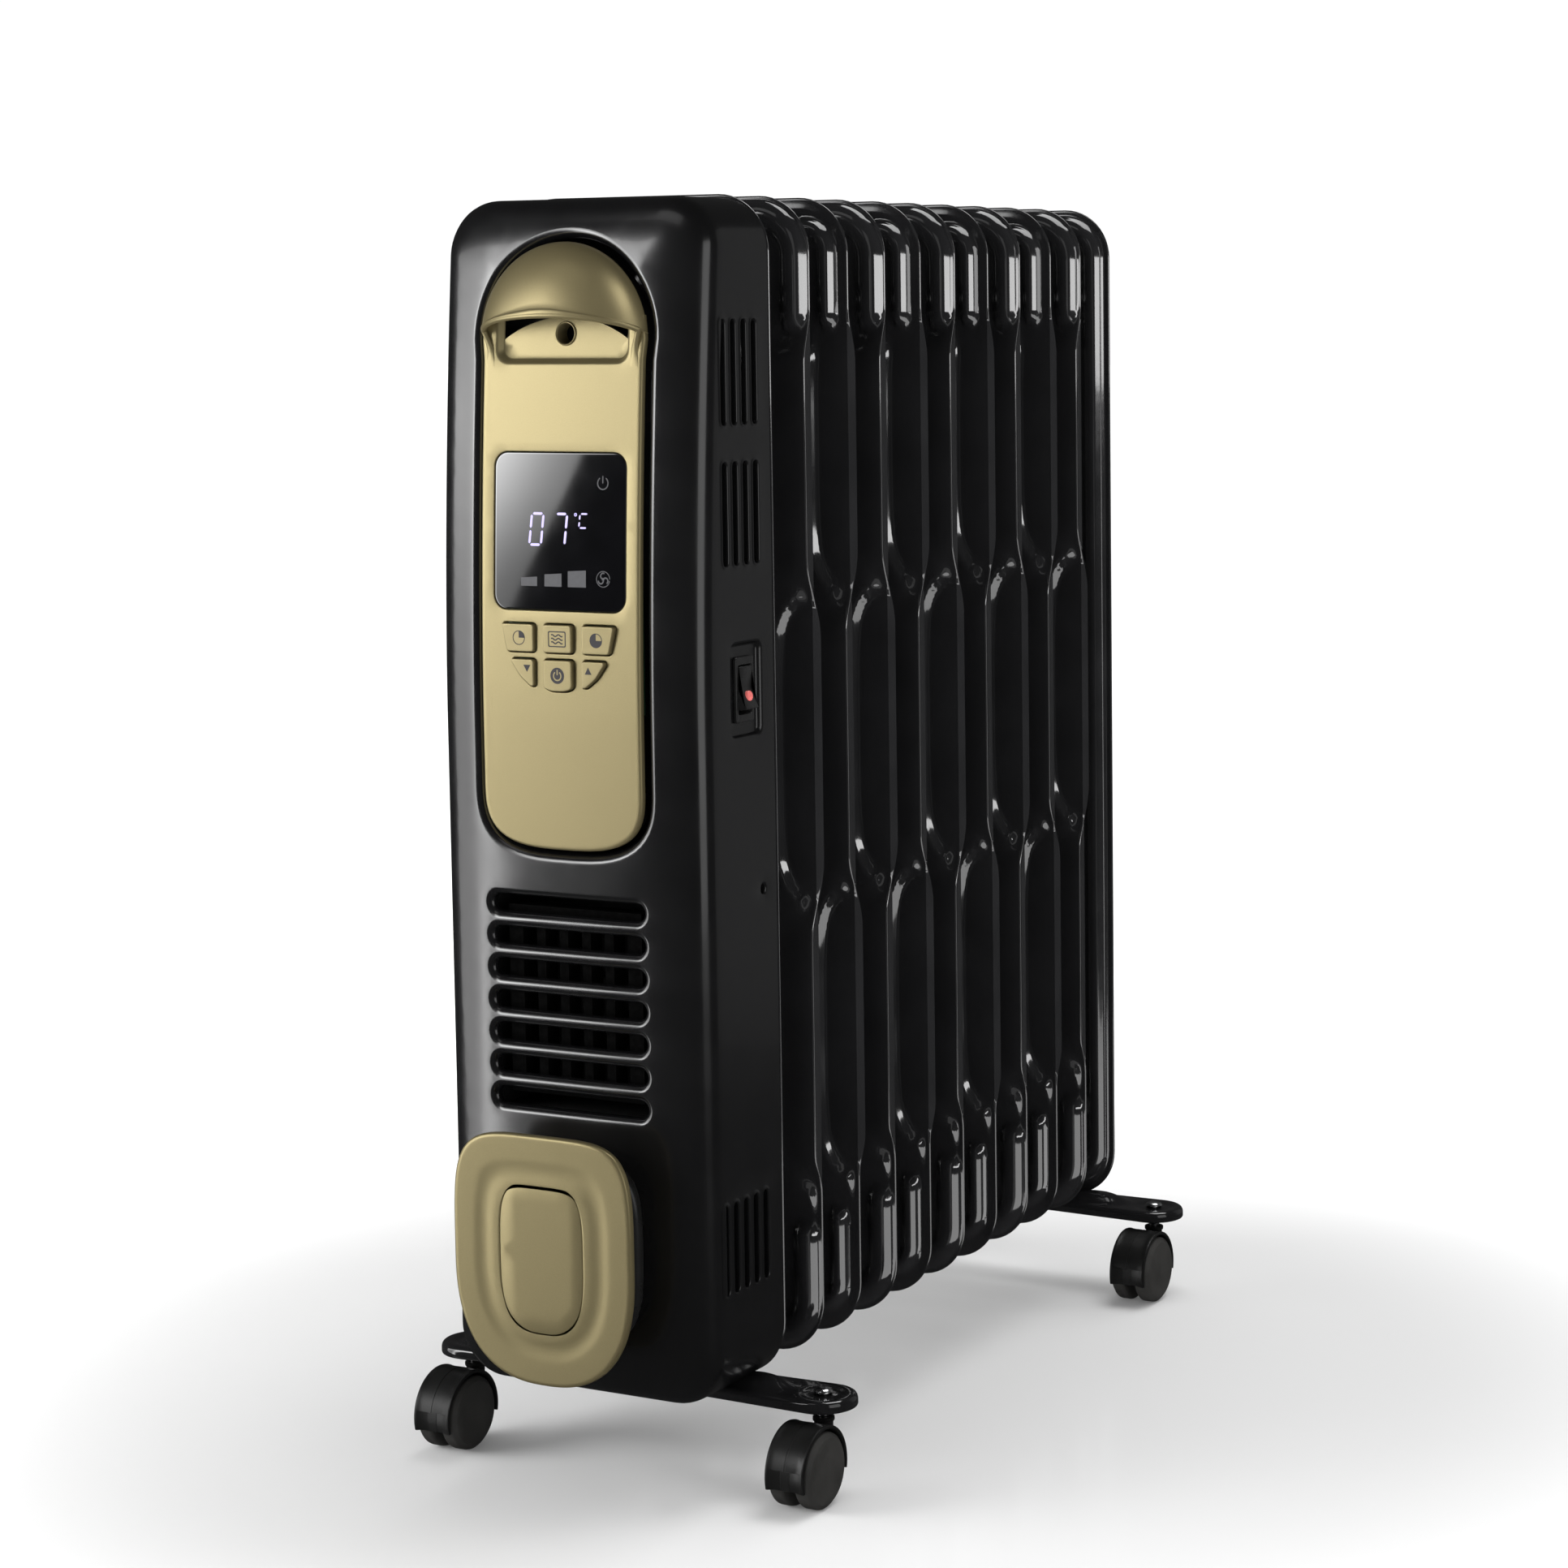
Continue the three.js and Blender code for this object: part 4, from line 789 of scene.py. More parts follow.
# A rounded rib follows the hood's rim, turns down at both ends and fades out beside the pocket.
RIB_REACH = 43.5
RIB_FOOT_X, RIB_FOOT_Z = 40.6, 556
RIB_FADE_LOW, RIB_FADE = 551, 14
rim = [point for point in hood_row(lambda e: e, 0.9) if abs(point[0]) < RIB_REACH]
turns = []
for side, last, before in ((1, rim[0], rim[1]), (-1, rim[-1], rim[-2])):
    foot = np.array(panel_front(side * RIB_FOOT_X, RIB_FOOT_Z))
    away = last + (last - before) / np.linalg.norm(last - before) * 1.5
    above = foot + np.array((0, 0, 5))
    t = np.linspace(0, 1, 12)[1:, None]
    turn = ((1 - t) ** 3 * last + 3 * (1 - t) ** 2 * t * away
            + 3 * (1 - t) * t ** 2 * above + t ** 3 * foot)
    tail = [np.array(panel_front(side * RIB_FOOT_X, RIB_FOOT_Z - drop)) for drop in (2, 4, 6)]
    turns.append([*turn, *tail])
rib_path = np.array(turns[0][::-1] + rim + turns[1])
rib_run = np.gradient(rib_path, axis=0)
rib_rings = []
for at, along in zip(rib_path, rib_run):
    across = np.cross(along, (0, 1, 0))
    across /= np.linalg.norm(across)
    up = np.cross(across, along / np.linalg.norm(along))
    share = smooth((at[2] - RIB_FADE_LOW) / RIB_FADE)
    section = ellipse(2.2 - 0.8 * share, 0.05 + 1.35 * share, 16)
    rib_rings.append([at + across * a + up * b for a, b in section])
hood.loft(rib_rings, cap_first=True, cap_last=True)
hood.piece("panel_hood", gold, "gold_finish", sharp=60)
panel.piece("panel_plate", gold, "gold_finish", ["control_panel"], sharp=45)

# A near-black tub of painted shade fills the pocket's hollow behind the hood and the pocket's face.
pocket_shade_tub = Surface()
TUB_HALF, TUB_BOTTOM = 42.5, 548
tub = np.vstack((arc(0, DOME_Z, TUB_HALF, 0, 180, 24), [(-TUB_HALF, TUB_BOTTOM), (TUB_HALF, TUB_BOTTOM)]))
pocket_shade_tub.loft([[(x, HOOD_Y + d, z) for x, z in tub] for d in (3.6, 15)], cap_last=True)
pocket_shade_tub.piece("pocket_liner", shade_sheet_paint, "black_plastic")

# ---------- display ----------

PANE_DEPTH = 0.15
PANE_EDGE = [(0, 3), (0, 0.7), (-0.1, 0.35), (-0.3, 0.18), (-0.5, PANE_DEPTH), (-0.9, PANE_DEPTH)]
window = Surface()
window.lip(display, PANE_EDGE, panel_front)
window.fill(offset(display, PANE_EDGE[-1][0]), [], lambda x, z: panel_front(x, z, PANE_DEPTH), 12)
window.piece("display_pane", glass, "display_glass", ["display_window"], sharp=40)

PRINT_PROUD = 0.1


def printed(name, shapes, place, look, slot, body="radiator"):
    """Thin printed or lit marks lying on a surface. A shape is a loop, or a loop and its holes."""
    marks = Surface()
    for outer, *inner in shapes:
        outer = np.asarray(outer, float)
        marks.loft([[place(x, z, 0.06) for x, z in outer], [place(x, z, 0) for x, z in outer]])
        marks.fill(outer, inner, place, 50)
    marks.piece(name, look, slot, body=body)


def stroke(path, half):
    """A thin closed loop round an open line."""
    path = np.asarray(path, float)
    run = np.gradient(path, axis=0)
    side = np.column_stack((run[:, 1], -run[:, 0])) / np.linalg.norm(run, axis=1)[:, None]
    return np.vstack((path + side * half, (path - side * half)[::-1]))


def segment(x0, z0, x1, z1, half):
    """One lit bar of a digit, pointed at both ends."""
    start, end = np.array((x0, z0)), np.array((x1, z1))
    along = (end - start) / np.linalg.norm(end - start)
    side = np.array((along[1], -along[0])) * half
    return [start, start + along * half + side, end - along * half + side,
            end, end - along * half - side, start + along * half - side]


DIGIT_SEGMENTS = {"0": "abcdef", "7": "abc", "C": "adef"}
LED_SLANT = 0.1


def digit(character, x, z, width, height):
    half = height / 2
    rows = {"a": (0.5, height, width - 0.5, height), "d": (0.5, 0, width - 0.5, 0),
            "b": (width, height - 0.5, width, half + 0.5), "c": (width, half - 0.5, width, 0.5),
            "f": (0, height - 0.5, 0, half + 0.5), "e": (0, half - 0.5, 0, 0.5)}
    thick = 0.62 if height > 8 else 0.42
    loops = [segment(*rows[key], thick) for key in DIGIT_SEGMENTS[character]]
    return [([(x + px + LED_SLANT * pz, z + pz) for px, pz in loop],) for loop in loops]


def on_glass(x, z, depth=0.0):
    return panel_front(x, z, PANE_DEPTH - PRINT_PROUD + depth)


lit = (digit("0", -17.2, 465.8, 6.6, 14.8) + digit("7", -3.6, 465.8, 6.4, 14.8)
       + digit("C", 10.9, 474.2, 4.6, 6.6))
lit.append((disc(9.0, 480.4, 0.8), disc(9.0, 480.4, 0.35)))
printed("led_digits", lit, on_glass, led, "display_glass")

# Three bars of growing height, a standby sign and a small fan in a ring.
BARS_Z = 446.1
STANDBY_X, STANDBY_Z = 24.2, 495.4
FAN_X, FAN_Z = 24.7, 450.3
icons = [([(x0, BARS_Z), (x1, BARS_Z), (x1, top), (x0, top - 0.6)],)
         for x0, x1, top in ((-21.9, -12.7, 450.6), (-8.5, 1.2, 452.4), (4.8, 15.0, 454.2))]
icons.append((stroke(arc(STANDBY_X, STANDBY_Z, 2.9, 125, 415, 24), 0.28),))
icons.append((stroke([(STANDBY_X, STANDBY_Z + rise) for rise in (0, 1.6, 3.4)], 0.28),))
icons += [(stroke(arc(FAN_X + 1.5 * math.cos(a), FAN_Z + 1.5 * math.sin(a), 1.4,
                      math.degrees(a) - 30, math.degrees(a) + 150, 8), 0.35),)
          for a in (math.pi / 2, math.pi * 7 / 6, math.pi * 11 / 6)]
icons.append((arc(FAN_X, FAN_Z, 0.7, 0, 330, 11),))
icons.append((stroke(arc(FAN_X, FAN_Z, 3.7, 0, 350, 35), 0.2),))
printed("display_icons", icons, on_glass, led_dim, "display_glass")

# ---------- keys ----------


def wavy(x, z, half):
    run = np.linspace(-half, half, 17)
    return stroke(np.column_stack((x + run, z + 0.45 * np.sin(run * 1.75))), 0.33)


def clock(x, z, start, end):
    """A ring with one sector filled in."""
    sector = np.vstack(([(x, z)], arc(x, z, 3.1, start, end, 18)))
    return [(disc(x, z, 3.5), disc(x, z, 3.1)), (sector,)]


TOP_KEYS_Z = 421.4
power_loop = stroke(arc(0, 403.9, 2.1, 125, 415, 20), 0.33)
power_bar = stroke([(0, 404.3), (0, 405.6), (0, 406.9)], 0.33)
KEY_ICONS = {
    "key_on_timer": clock(-22, TOP_KEYS_Z, 0, 90),
    "key_heat_mode": [(rounded_rect(0, TOP_KEYS_Z, 5, 3.8, 0.8, steps=3),
                       rounded_rect(0, TOP_KEYS_Z, 4.45, 3.25, 0.5, steps=3)),
                      *[(wavy(0, TOP_KEYS_Z + rise, 3.2),) for rise in (-1.7, 0, 1.7)]],
    "key_off_timer": clock(22, TOP_KEYS_Z, 90, 360),
    "key_down": [([(-19.4, 408.6), (-17.4, 405.2), (-15.4, 408.6)],)],
    "key_power": [(disc(0, 404.0, 3.9), power_loop, power_bar)],
    "key_up": [([(15.6, 405.2), (19.4, 405.2), (17.5, 408.6)],)],
}
KEY_EDGE = [(0, 5), (0, 0.45), (-0.06, 0.2), (-0.2, 0.06), (-0.45, 0), (-0.8, 0)]
for name, points in KEYS.items():
    outline = softened(points, KEY_CORNER)
    middle_z = points[0][1]
    front = PANEL_Y + lean_back(middle_z) - KEY_PROUD
    at = lambda x, z, depth=0.0, front=front: (x, front + depth, z)
    key = Surface()
    key.lip(outline, KEY_EDGE, at)
    key.fill(offset(outline, KEY_EDGE[-1][0]), [], at, 3)
    key.piece(name + "_cap", gold, "gold_finish", [name], body=name, sharp=45)
    printed(name + "_mark", KEY_ICONS[name],
            lambda x, z, depth=0.0, at=at: at(x, z, depth - 0.05), ink, "gold_finish", body=name)

# ---------- rocker switch ----------

bezel = Surface()
bezel_edge = rounded_rect(ROCKER_Y, ROCKER_Z, 8.2, 15.8, 1.5, steps=5)
bezel_mouth = rounded_rect(ROCKER_Y, ROCKER_Z, 6.1, 11.8, 0.8, steps=5)
BEZEL_RINGS = [(bezel_edge, 0, 72.8), (bezel_edge, 0, 73.7), (bezel_edge, -0.15, 74.1),
               (bezel_edge, -0.5, 74.3), (bezel_edge, -0.9, 74.3), (bezel_mouth, 0.6, 74.3),
               (bezel_mouth, 0.2, 74.2), (bezel_mouth, 0, 73.9), (bezel_mouth, 0, 58)]
bezel.loft([[(x, y, z) for y, z in offset(outline, grow)] for outline, grow, x in BEZEL_RINGS])
bezel.piece("switch_bezel", plastic, "black_plastic", ["rocker_bezel"], sharp=40)

TILT = Matrix.Rotation(math.radians(-10), 3, "Y")
PIVOT = Vector((70.5, ROCKER_Y, ROCKER_Z))


def tilted(x, y, z):
    return tuple(PIVOT + TILT @ Vector((x, y, z)))


PADDLE_SIDE = [(-5, -6.5), (2.5, -10.4), (6.4, -10.4), (4, 0), (6.4, 10.4), (2.5, 10.4), (-5, 6.5)]
PADDLE_EDGE = [(0.6, -5.7), (0.15, -5.5), (0, -5.1), (0, 5.1), (0.15, 5.5), (0.6, 5.7)]
paddle_side = softened(PADDLE_SIDE, 0.9, 3)
paddle = Surface()
paddle.loft([[tilted(x, y, z) for x, z in offset(paddle_side, -inset)] for inset, y in PADDLE_EDGE],
            cap_first=True, cap_last=True)
paddle.piece("switch_paddle", plastic, "black_plastic", ["rocker"], body="rocker", sharp=40)

LENS_Z = -4
LENS_DOME = [(2.5, 3.6), (2.5, 5.6), (2.35, 5.95), (1.9, 6.25), (1.1, 6.45), (0.1, 6.5)]
lens = Surface()
lens.loft([[tilted(x, y, LENS_Z + z) for y, z in ellipse(radius, radius)] for radius, x in LENS_DOME],
          cap_last=True)
lens.piece("switch_lens", red_lens, "red_lens", ["rocker_lens"], body="rocker", sharp=60)

# ---------- cord winder ----------

PLATE_FRONT_Y = -247.5
PLATE_Z = 125.8


def winder_ring(inset, y):
    return [(x, y, z) for x, z in superellipse(50.5 - inset, 60.7 - inset, PLATE_Z, 4.6, 2.5, 160)]


def plate_at(x, z, depth=0.0):
    return (x, PLATE_FRONT_Y + depth, z)


# From the back of the plate round its edge, then over the shallow groove to the inlay's field.
PLATE_RINGS = [(4, 4), (0.8, 4), (0.15, 3.7), (0, 3.2), (0, 1.6), (0.15, 0.9), (0.5, 0.4), (1.1, 0.1),
               (1.8, 0), (2.6, 0), (10.5, 0), (12, 0.02), (13.5, 0.11), (15, 0.25), (16.5, 0.34),
               (18, 0.36), (19.5, 0.31), (21, 0.18), (22.5, 0.05), (24, 0), (25.6, 0)]
INLAY_GAP = [(0.45, 0), (0.25, 0.08), (0.15, 0.3), (0.15, 1)]
BADGE_EDGE = [(0, 0.8), (0, 0.35), (-0.12, 0.1), (-0.4, 0)]
DRUM_RINGS = [(2.5, -243.1), (0.2, -243.1), (0, -242.6), (0, -224), (-0.8, -222), (-2.4, -221.4),
              (-2.4, -220.6)]
plate = Surface()
plate.loft([winder_ring(inset, PLATE_FRONT_Y + depth) for inset, depth in PLATE_RINGS])
back_inset, back_depth = PLATE_RINGS[0]
plate.face(plate.ring(winder_ring(back_inset, PLATE_FRONT_Y + back_depth)))
inlay = superellipse(23.5, 36, PLATE_Z + 1, 4.2, 3)
field = np.array([(x, z) for x, _, z in winder_ring(PLATE_RINGS[-1][0], 0)])
plate.fill(field, [offset(inlay, INLAY_GAP[0][0])], plate_at, 4)
plate.lip(inlay, INLAY_GAP, plate_at)
plate.piece("winder_cap", gold, "gold_finish", ["winder_plate"], sharp=50)
badge = Surface()
badge.lip(inlay, BADGE_EDGE, plate_at)
badge.fill(offset(inlay, BADGE_EDGE[-1][0]), [], plate_at, 6)
badge.piece("winder_badge", gold, "gold_finish", ["winder_inlay"], sharp=50)
hub = Surface()
hub.loft([[(x, y, z) for x, z in superellipse(38 - inset, 44 - inset, PLATE_Z, 4, 3)]
          for inset, y in DRUM_RINGS])
hub.piece("winder_drum", plastic, "black_plastic", ["winder_hub"], sharp=50)

# ---------- feet ----------

STUD_X = 103
FOOT_TOP, FOOT_LOW = 51.1, 45.1
WIDE = 17


def foot_outline(y, inset):
    return chained([
        arc(STUD_X, y, WIDE - inset, -90, 90, 20),
        np.array([(40, y + 15 - inset), (-40, y + 15 - inset)]),
        arc(-STUD_X, y, WIDE - inset, 90, 270, 20),
        np.array([(-40, y - 15 + inset), (40, y - 15 + inset)]),
    ], (16,))


def foot_relief(x, y, middle_y):
    """A long oval boss runs out from under the housing, and a shallow dish holds the stud."""
    reach = math.hypot((abs(x) - 66) / 25, (y - middle_y) / 12.5)
    boss = 4.4 * float(smooth(1.35 * (1 - reach)))
    away = math.hypot(abs(x) - STUD_X, y - middle_y)
    dish = -0.8 * float(smooth((12.5 - away) / 4)) + 0.3 * float(smooth((7 - away) / 2.5))
    return boss + dish


FEET = {"front": -159.5, "rear": 230.5}
UNDERSIDE_Z = 49.4
# From the underside, down inside the flange, round its edge and up to the flat top.
FOOT_RINGS = [(1.6, UNDERSIDE_Z), (1.6, 45.9), (1.3, 45.3), (0.8, FOOT_LOW), (0.3, 45.3), (0, 45.9),
              (0, 48.4), (0.25, 49.5), (0.8, 50.4), (1.6, 50.95), (2.6, FOOT_TOP)]
for end, foot_y in FEET.items():
    foot = Surface()
    foot.loft([[(x, y, z) for x, y in foot_outline(foot_y, inset)] for inset, z in FOOT_RINGS])
    stud_holes = [disc(s * STUD_X, foot_y, 4.2) for s in (1, -1)]
    foot.fill(foot_outline(foot_y, FOOT_RINGS[-1][0]), stud_holes,
              lambda x, y: (x, y, FOOT_TOP + foot_relief(x, y, foot_y)), 1.7)
    foot.fill(foot_outline(foot_y, FOOT_RINGS[0][0]), stud_holes, lambda x, y: (x, y, UNDERSIDE_Z), 12)
    foot.piece(end + "_foot_pressing", enamel, "black_enamel", [end + "_foot"], sharp=50)

# ---------- castors ----------

WHEEL_R = 18.7
TRAIL = 17.5
HALF_FENDER = [(0.35, 21.5), (0.5, 21.7), (6, 21.6), (8.8, 21.7), (9.7, 22), (10.5, 21.8), (10.8, 21.2),
               (10.75, 20.3), (10.3, 19.9), (8.4, 19.9)]
FENDER = [(-x, radius) for x, radius in reversed(HALF_FENDER)] + HALF_FENDER
FENDER_START, SEAM, FENDER_END = -12, 168, 195
SEAM_DEPTH = 0.9
WEB_EDGE = [(-2.7, 0.4), (-2.4, 0), (2.4, 0), (2.7, 0.4)]
SOCKET = [(0, 6), (5.2, 6), (5.4, 7), (4.7, 7.5), (4.7, 18.6), (5.3, 18.9), (5.4, 19.2), (5.4, 20.6),
          (5.1, 20.9), (3.6, 21), (3.5, 20.6), (3.5, 14.2), (0, 14.2)]
AXLE = [(0, -10.6), (1.7, -10.6), (1.9, -10.4), (1.9, 10.4), (1.7, 10.6), (0, 10.6)]
WHEEL = [(0, 11), (2.3, 11), (2.3, 3.2), (17.2, 3.2), (18, 3.4), (18.5, 3.9), (18.7, 4.8), (18.7, 9.2),
         (18.5, 10.1), (18.0, 10.7), (17.2, 11.1), (16.5, 11.9), (16.2, 12.1), (15.8, 12.2), (13, 12.2),
         (6, 12.1), (0, 12.05)]
STUD = [(0, 32.5), (2.8, 32.5), (3.1, 32.9), (3.1, 46.5), (5.5, 46.8), (5.5, 49.1), (3.1, 49.2),
        (3.1, 51.4), (4.6, 51.5), (4.9, 51.9), (4.5, 52.8), (3.2, 53.5), (1.4, 53.85), (0, 53.9)]


def fender_ring(degrees, cx, cy, cz):
    """A section of the hood over the wheels; past the seam its middle lies a little lower."""
    angle = math.radians(degrees)
    ring = []
    for x, radius in FENDER:
        if degrees > SEAM + 0.2 and abs(x) < 8.5 and radius > 20.5:
            radius -= SEAM_DEPTH
        ring.append((cx + x, cy + radius * math.cos(angle), cz + radius * math.sin(angle)))
    return ring


def castor(end, hand, side, foot_y):
    name = f"{end}_{hand}"
    cx, cy, cz = side * STUD_X, foot_y - TRAIL, WHEEL_R
    guard = Surface()
    angles = [*np.linspace(FENDER_START, SEAM, 46), SEAM + 0.5, SEAM + 1,
              *np.linspace(SEAM + 3, FENDER_END, 7)]
    guard.loft([fender_ring(degrees, cx, cy, cz) for degrees in angles], cap_first=True, cap_last=True)
    web = chained([arc(0, 0, 20.9, FENDER_START, FENDER_END, 40), arc(0, 0, 9, 200, 340, 10)], (3,))
    guard.loft([[(cx + x, cy + a, cz + b) for a, b in offset(web, -inset)] for x, inset in WEB_EDGE],
               cap_first=True, cap_last=True)
    turned(guard, SOCKET, (cx, cy + TRAIL, cz), segments=36)
    turned(guard, AXLE, (cx, cy, cz), axis="X", segments=24)
    guard.piece(name + "_guard", castor_nylon, "castor_plastic", [name + "_castor"],
                body=name + "_castor", sharp=42)
    for letter, way in (("a", -1), ("b", 1)):
        wheel = Surface()
        profile = [(radius, way * along) for radius, along in WHEEL]
        turned(wheel, profile, (cx, cy, cz), axis="X", segments=64)
        wheel.piece(f"{name}_tyre_{letter}", wheel_nylon, "castor_plastic", [f"{name}_wheel_{letter}"],
                    body=f"{name}_wheel_{letter}", sharp=42)
    stem = Surface()
    turned(stem, STUD, (cx, foot_y, 0), segments=40)
    stem.piece(name + "_stud", steel, "bright_steel", [name + "_stem"], sharp=40)


for end, foot_y in FEET.items():
    for hand, side in (("left", -1), ("right", 1)):
        castor(end, hand, side, foot_y)

# ---------- stage: white floor with a painted shadow round the heater, soft lights and a white surround ---


def emission_by_place(name, build):
    """A glowing material whose strength is worked out from the place in the room."""
    made = bpy.data.materials.new(name)
    made.use_nodes = True
    nodes, links = made.node_tree.nodes, made.node_tree.links
    nodes.remove(nodes["Principled BSDF"])
    glowing = nodes.new("ShaderNodeEmission")
    place = nodes.new("ShaderNodeTexCoord")
    split = nodes.new("ShaderNodeSeparateXYZ")
    links.new(place.outputs["Object"], split.inputs["Vector"])
    links.new(build(nodes, links, split), glowing.inputs["Strength"])
    return made, nodes, links, glowing


def ramp(nodes, links, source, start, end, low, high):
    """Smooth change from low to high while the source goes from start to end."""
    step = add_node(nodes, "MapRange", From_Min=start, From_Max=end, To_Min=low, To_Max=high)
    step.interpolation_type = "SMOOTHSTEP"
    links.new(source, step.inputs["Value"])
    return step.outputs["Result"]


def combine(nodes, links, operation, result, *values):
    """A chain of arithmetic nodes; each value is a socket or a number."""
    for value in values:
        step = nodes.new("ShaderNodeMath")
        step.operation = operation
        links.new(result, step.inputs[0])
        if isinstance(value, (int, float)):
            step.inputs[1].default_value = value
        else:
            links.new(value, step.inputs[1])
        result = step.outputs["Value"]
    return result


def quad(name, corners, paint):
    mesh = bpy.data.meshes.new(name)
    mesh.from_pydata(corners, [], [(0, 1, 2, 3)])
    mesh.materials.append(paint)
    made = bpy.data.objects.new(name, mesh)
    bpy.context.scene.collection.objects.link(made)
    return made


def glow_with_painted_shadow(nodes, links, split):
    """Glow strength: next to nothing under the heater, white further off. The dim patch round the heater
    is a painted shadow, added to the shadows the lamps cast.
    """
    across = combine(nodes, links, "POWER", split.outputs["X"], 2.0)
    along = combine(nodes, links, "POWER", split.outputs["Y"], 2.0)
    distance = combine(nodes, links, "SQRT", combine(nodes, links, "ADD", across, along), 0.0)
    return ramp(nodes, links, distance, 0.32, 0.86, 0.07, 1.05)


floor_paint, nodes, links, glowing = emission_by_place("floor_paint", glow_with_painted_shadow)
paper = add_node(nodes, "BsdfPrincipled", Base_Color=(0.86, 0.86, 0.86, 1), Roughness=0.16,
                 Specular_IOR_Level=0.5)
both = nodes.new("ShaderNodeAddShader")
links.new(paper.outputs["BSDF"], both.inputs[0])
links.new(glowing.outputs["Emission"], both.inputs[1])
links.new(both.outputs["Shader"], nodes["Material Output"].inputs["Surface"])
FLOOR_HALF = 30                   # metres, like everything on the stage
floor = quad("floor", [(x * FLOOR_HALF, y * FLOOR_HALF, 0)
                       for x, y in ((-1, -1), (1, -1), (1, 1), (-1, 1))], floor_paint)
floor.visible_glossy = False
floor.visible_shadow = False

# A tall soft box stands to the left. Its slanting right edge shows in the display window.
BOX_EDGE_X, BOX_EDGE_Z, BOX_SLANT = -0.845, 0.604, 0.34
BOX_STRENGTH = 12
BOX_Y, BOX_LEFT = -1.5, -4.5
BOX_BOTTOM, BOX_TOP = -0.6, 1.35


def left_box_strength(nodes, links, split):
    """Brightest beside the slanting edge and at the panel's height, fading below and far out."""
    slant = combine(nodes, links, "MULTIPLY", split.outputs["Z"], BOX_SLANT)
    edge = combine(nodes, links, "SUBTRACT", slant, split.outputs["X"])
    start = BOX_SLANT * BOX_EDGE_Z - BOX_EDGE_X
    sideways = ramp(nodes, links, edge, start, start + 0.16, 0.22, 1.0)
    height = split.outputs["Z"]
    far_left = ramp(nodes, links, edge, start + 0.25, start + 0.7, 1.0, 0.33)
    middle = combine(nodes, links, "MULTIPLY", ramp(nodes, links, height, 0.4, 0.62, 0.55, 1.0),
                     ramp(nodes, links, height, 0.7, 1.1, 1.0, 0.5))
    low_part = combine(nodes, links, "MULTIPLY", ramp(nodes, links, height, 0.12, 0.36, -0.12, 0.0),
                       ramp(nodes, links, height, -0.5, -0.25, 0.0, 1.0))
    upwards = combine(nodes, links, "ADD", middle, low_part)
    return combine(nodes, links, "MULTIPLY", sideways, upwards, far_left, BOX_STRENGTH)


def box_edge(z):
    return BOX_EDGE_X + BOX_SLANT * (z - BOX_EDGE_Z)


box_paint, nodes, links, glowing = emission_by_place("box_paint", left_box_strength)
links.new(glowing.outputs["Emission"], nodes["Material Output"].inputs["Surface"])
left_box = quad("left_box", [(BOX_LEFT, BOX_Y, BOX_BOTTOM), (box_edge(BOX_BOTTOM), BOX_Y, BOX_BOTTOM),
                             (box_edge(BOX_TOP), BOX_Y, BOX_TOP), (BOX_LEFT, BOX_Y, BOX_TOP)], box_paint)
left_box.visible_camera = False
left_box.visible_shadow = False


def soft_light(name, place, aim, size, power, only=None):
    data = bpy.data.lights.new(name, "AREA")
    data.shape = "RECTANGLE"
    data.size, data.size_y = size
    data.energy = power
    lamp = bpy.data.objects.new(name, data)
    lamp.location = place
    lamp.rotation_mode = "QUATERNION"
    lamp.rotation_quaternion = (Vector(aim) - Vector(place)).to_track_quat("-Z", "Y")
    lamp.visible_camera = False
    if only:
        lamp.light_linking.receiver_collection = only
    bpy.context.scene.collection.objects.link(lamp)


def only_these(name, wanted):
    """A collection of the pieces that a light reaches."""
    reached = bpy.data.collections.new(name)
    for thing in bpy.context.scene.objects:
        if thing.type == "MESH" and wanted(thing.name):
            reached.objects.link(thing)
    return reached


fin_pieces = only_these("fin_pieces", lambda name: "_sheets" in name)
all_but_fins = only_these("all_but_fins", lambda name: "_sheets" not in name)
all_but_front = only_these("all_but_front", lambda name: name not in ("front_housing", "panel_hood"))
hood_only = only_these("hood_only", lambda name: name == "panel_hood")
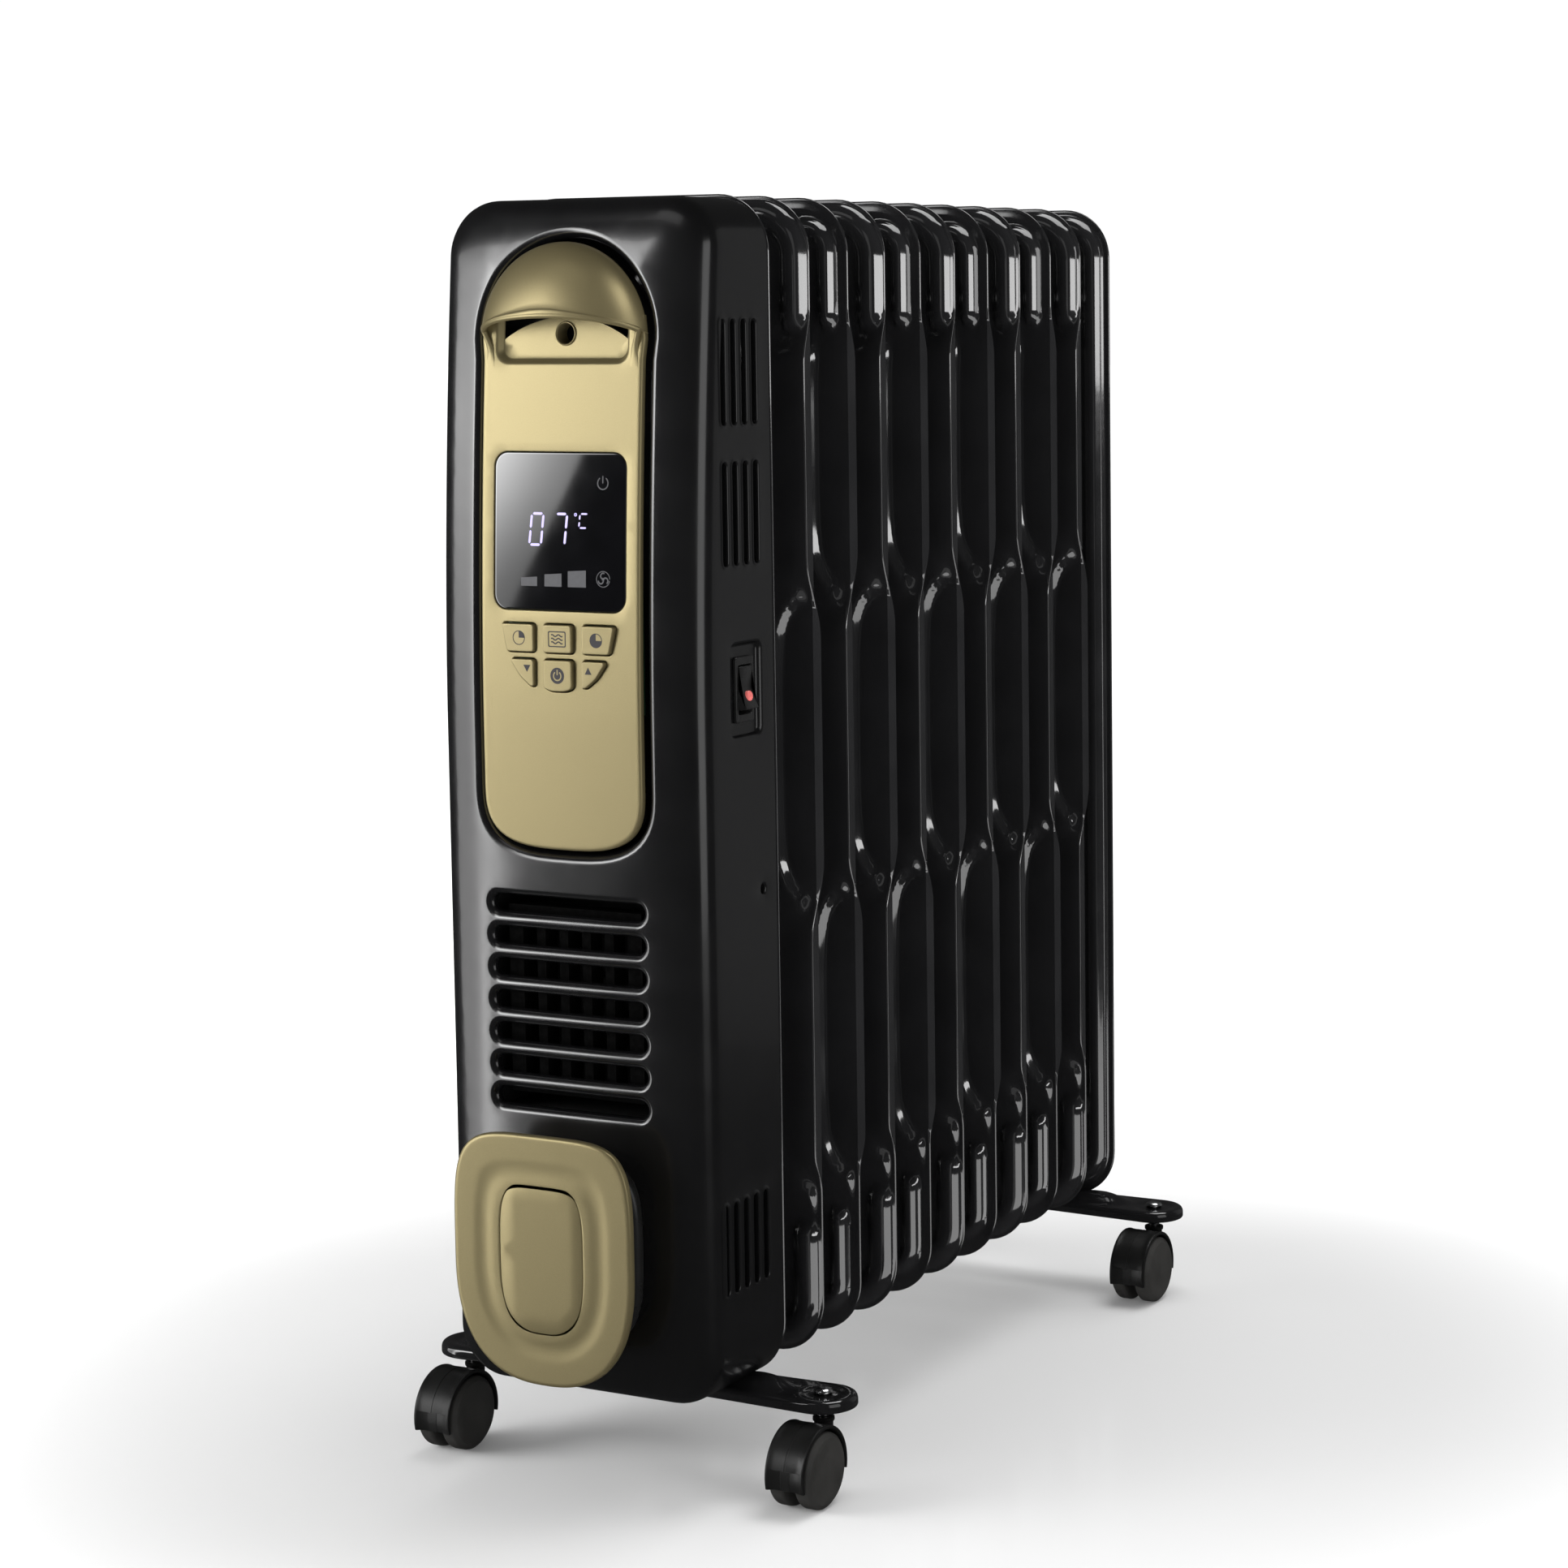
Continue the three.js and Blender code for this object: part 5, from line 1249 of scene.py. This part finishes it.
# Name, place, what it aims at, width and height, power, and the only pieces that it reaches.
for light in [
    ("left_fill", (-1.6, -1.2, 0.9), (0, -0.1, 0.3), (0.9, 1.2), 26),
    ("top_box", (0.3, 0.45, 2.2), (0, 0, 0.3), (1.4, 1.2), 26, all_but_front),
    ("right_fill", (1.5, 0.9, 0.9), (0, 0, 0.3), (0.5, 1.2), 5),
    ("edge_box", (1.57, 0.33, 0.15), (0.07, 0.33, 0.15), (0.5, 2.3), 13, fin_pieces),
    ("upper_ridge_box", (1.45, -0.68, 0.62), (0.07, 0, 0.62), (1.3, 0.26), 9.5, fin_pieces),
    ("hood_box", (1.0, -0.75, 1.5), (0, -0.25, 0.58), (0.7, 0.7), 5, hood_only),
    ("side_box", (0.9, 1.5, 0.6), (0.07, 0, 0.4), (1.2, 1.6), 0.6, all_but_fins),
    ("lower_ridge_box", (1.1, -0.85, -0.55), (0.07, 0, 0.1), (1.4, 0.8), 11, fin_pieces),
    ("front_strip", (0.43, -1.6, 0.2), (0.07, 0, 0.2), (0.5, 2.5), 1.5, fin_pieces),
    ("vent_box", (1.45, -0.68, 0.6), (0.07, 0, 0.4), (1.0, 1.2), 4, all_but_fins),
    ("lip_box", (-0.5, -1.3, 1.9), (0, -0.2, 0.3), (0.9, 0.5), 0.8),
    ("rear_fill", (0.6, 1.6, 0.9), (0, 0.1, 0.35), (0.8, 1.2), 5),
]:
    soft_light(*light)
# The three fills only lift the shadows, and don't show as reflections.
for name in ("left_fill", "right_fill", "rear_fill"):
    bpy.data.objects[name].visible_glossy = False

# The surround is white to the camera, dimmer as fill light and nearly black in reflections.
DIFFUSE_GLOW, REFLECTED_GLOW = 0.38, 0.03
world = bpy.data.worlds.new("surround")
world.use_nodes = True
nodes, links = world.node_tree.nodes, world.node_tree.links
rays = nodes.new("ShaderNodeLightPath")
spread = combine(nodes, links, "MULTIPLY", rays.outputs["Is Diffuse Ray"], DIFFUSE_GLOW)
total = combine(nodes, links, "ADD", rays.outputs["Is Camera Ray"], spread, REFLECTED_GLOW)
glow = nodes["Background"]
set_inputs(glow, Color=(1, 1, 1, 1))
links.new(total, glow.inputs["Strength"])
bpy.context.scene.world = world
bpy.context.scene.view_settings.view_transform = "Standard"
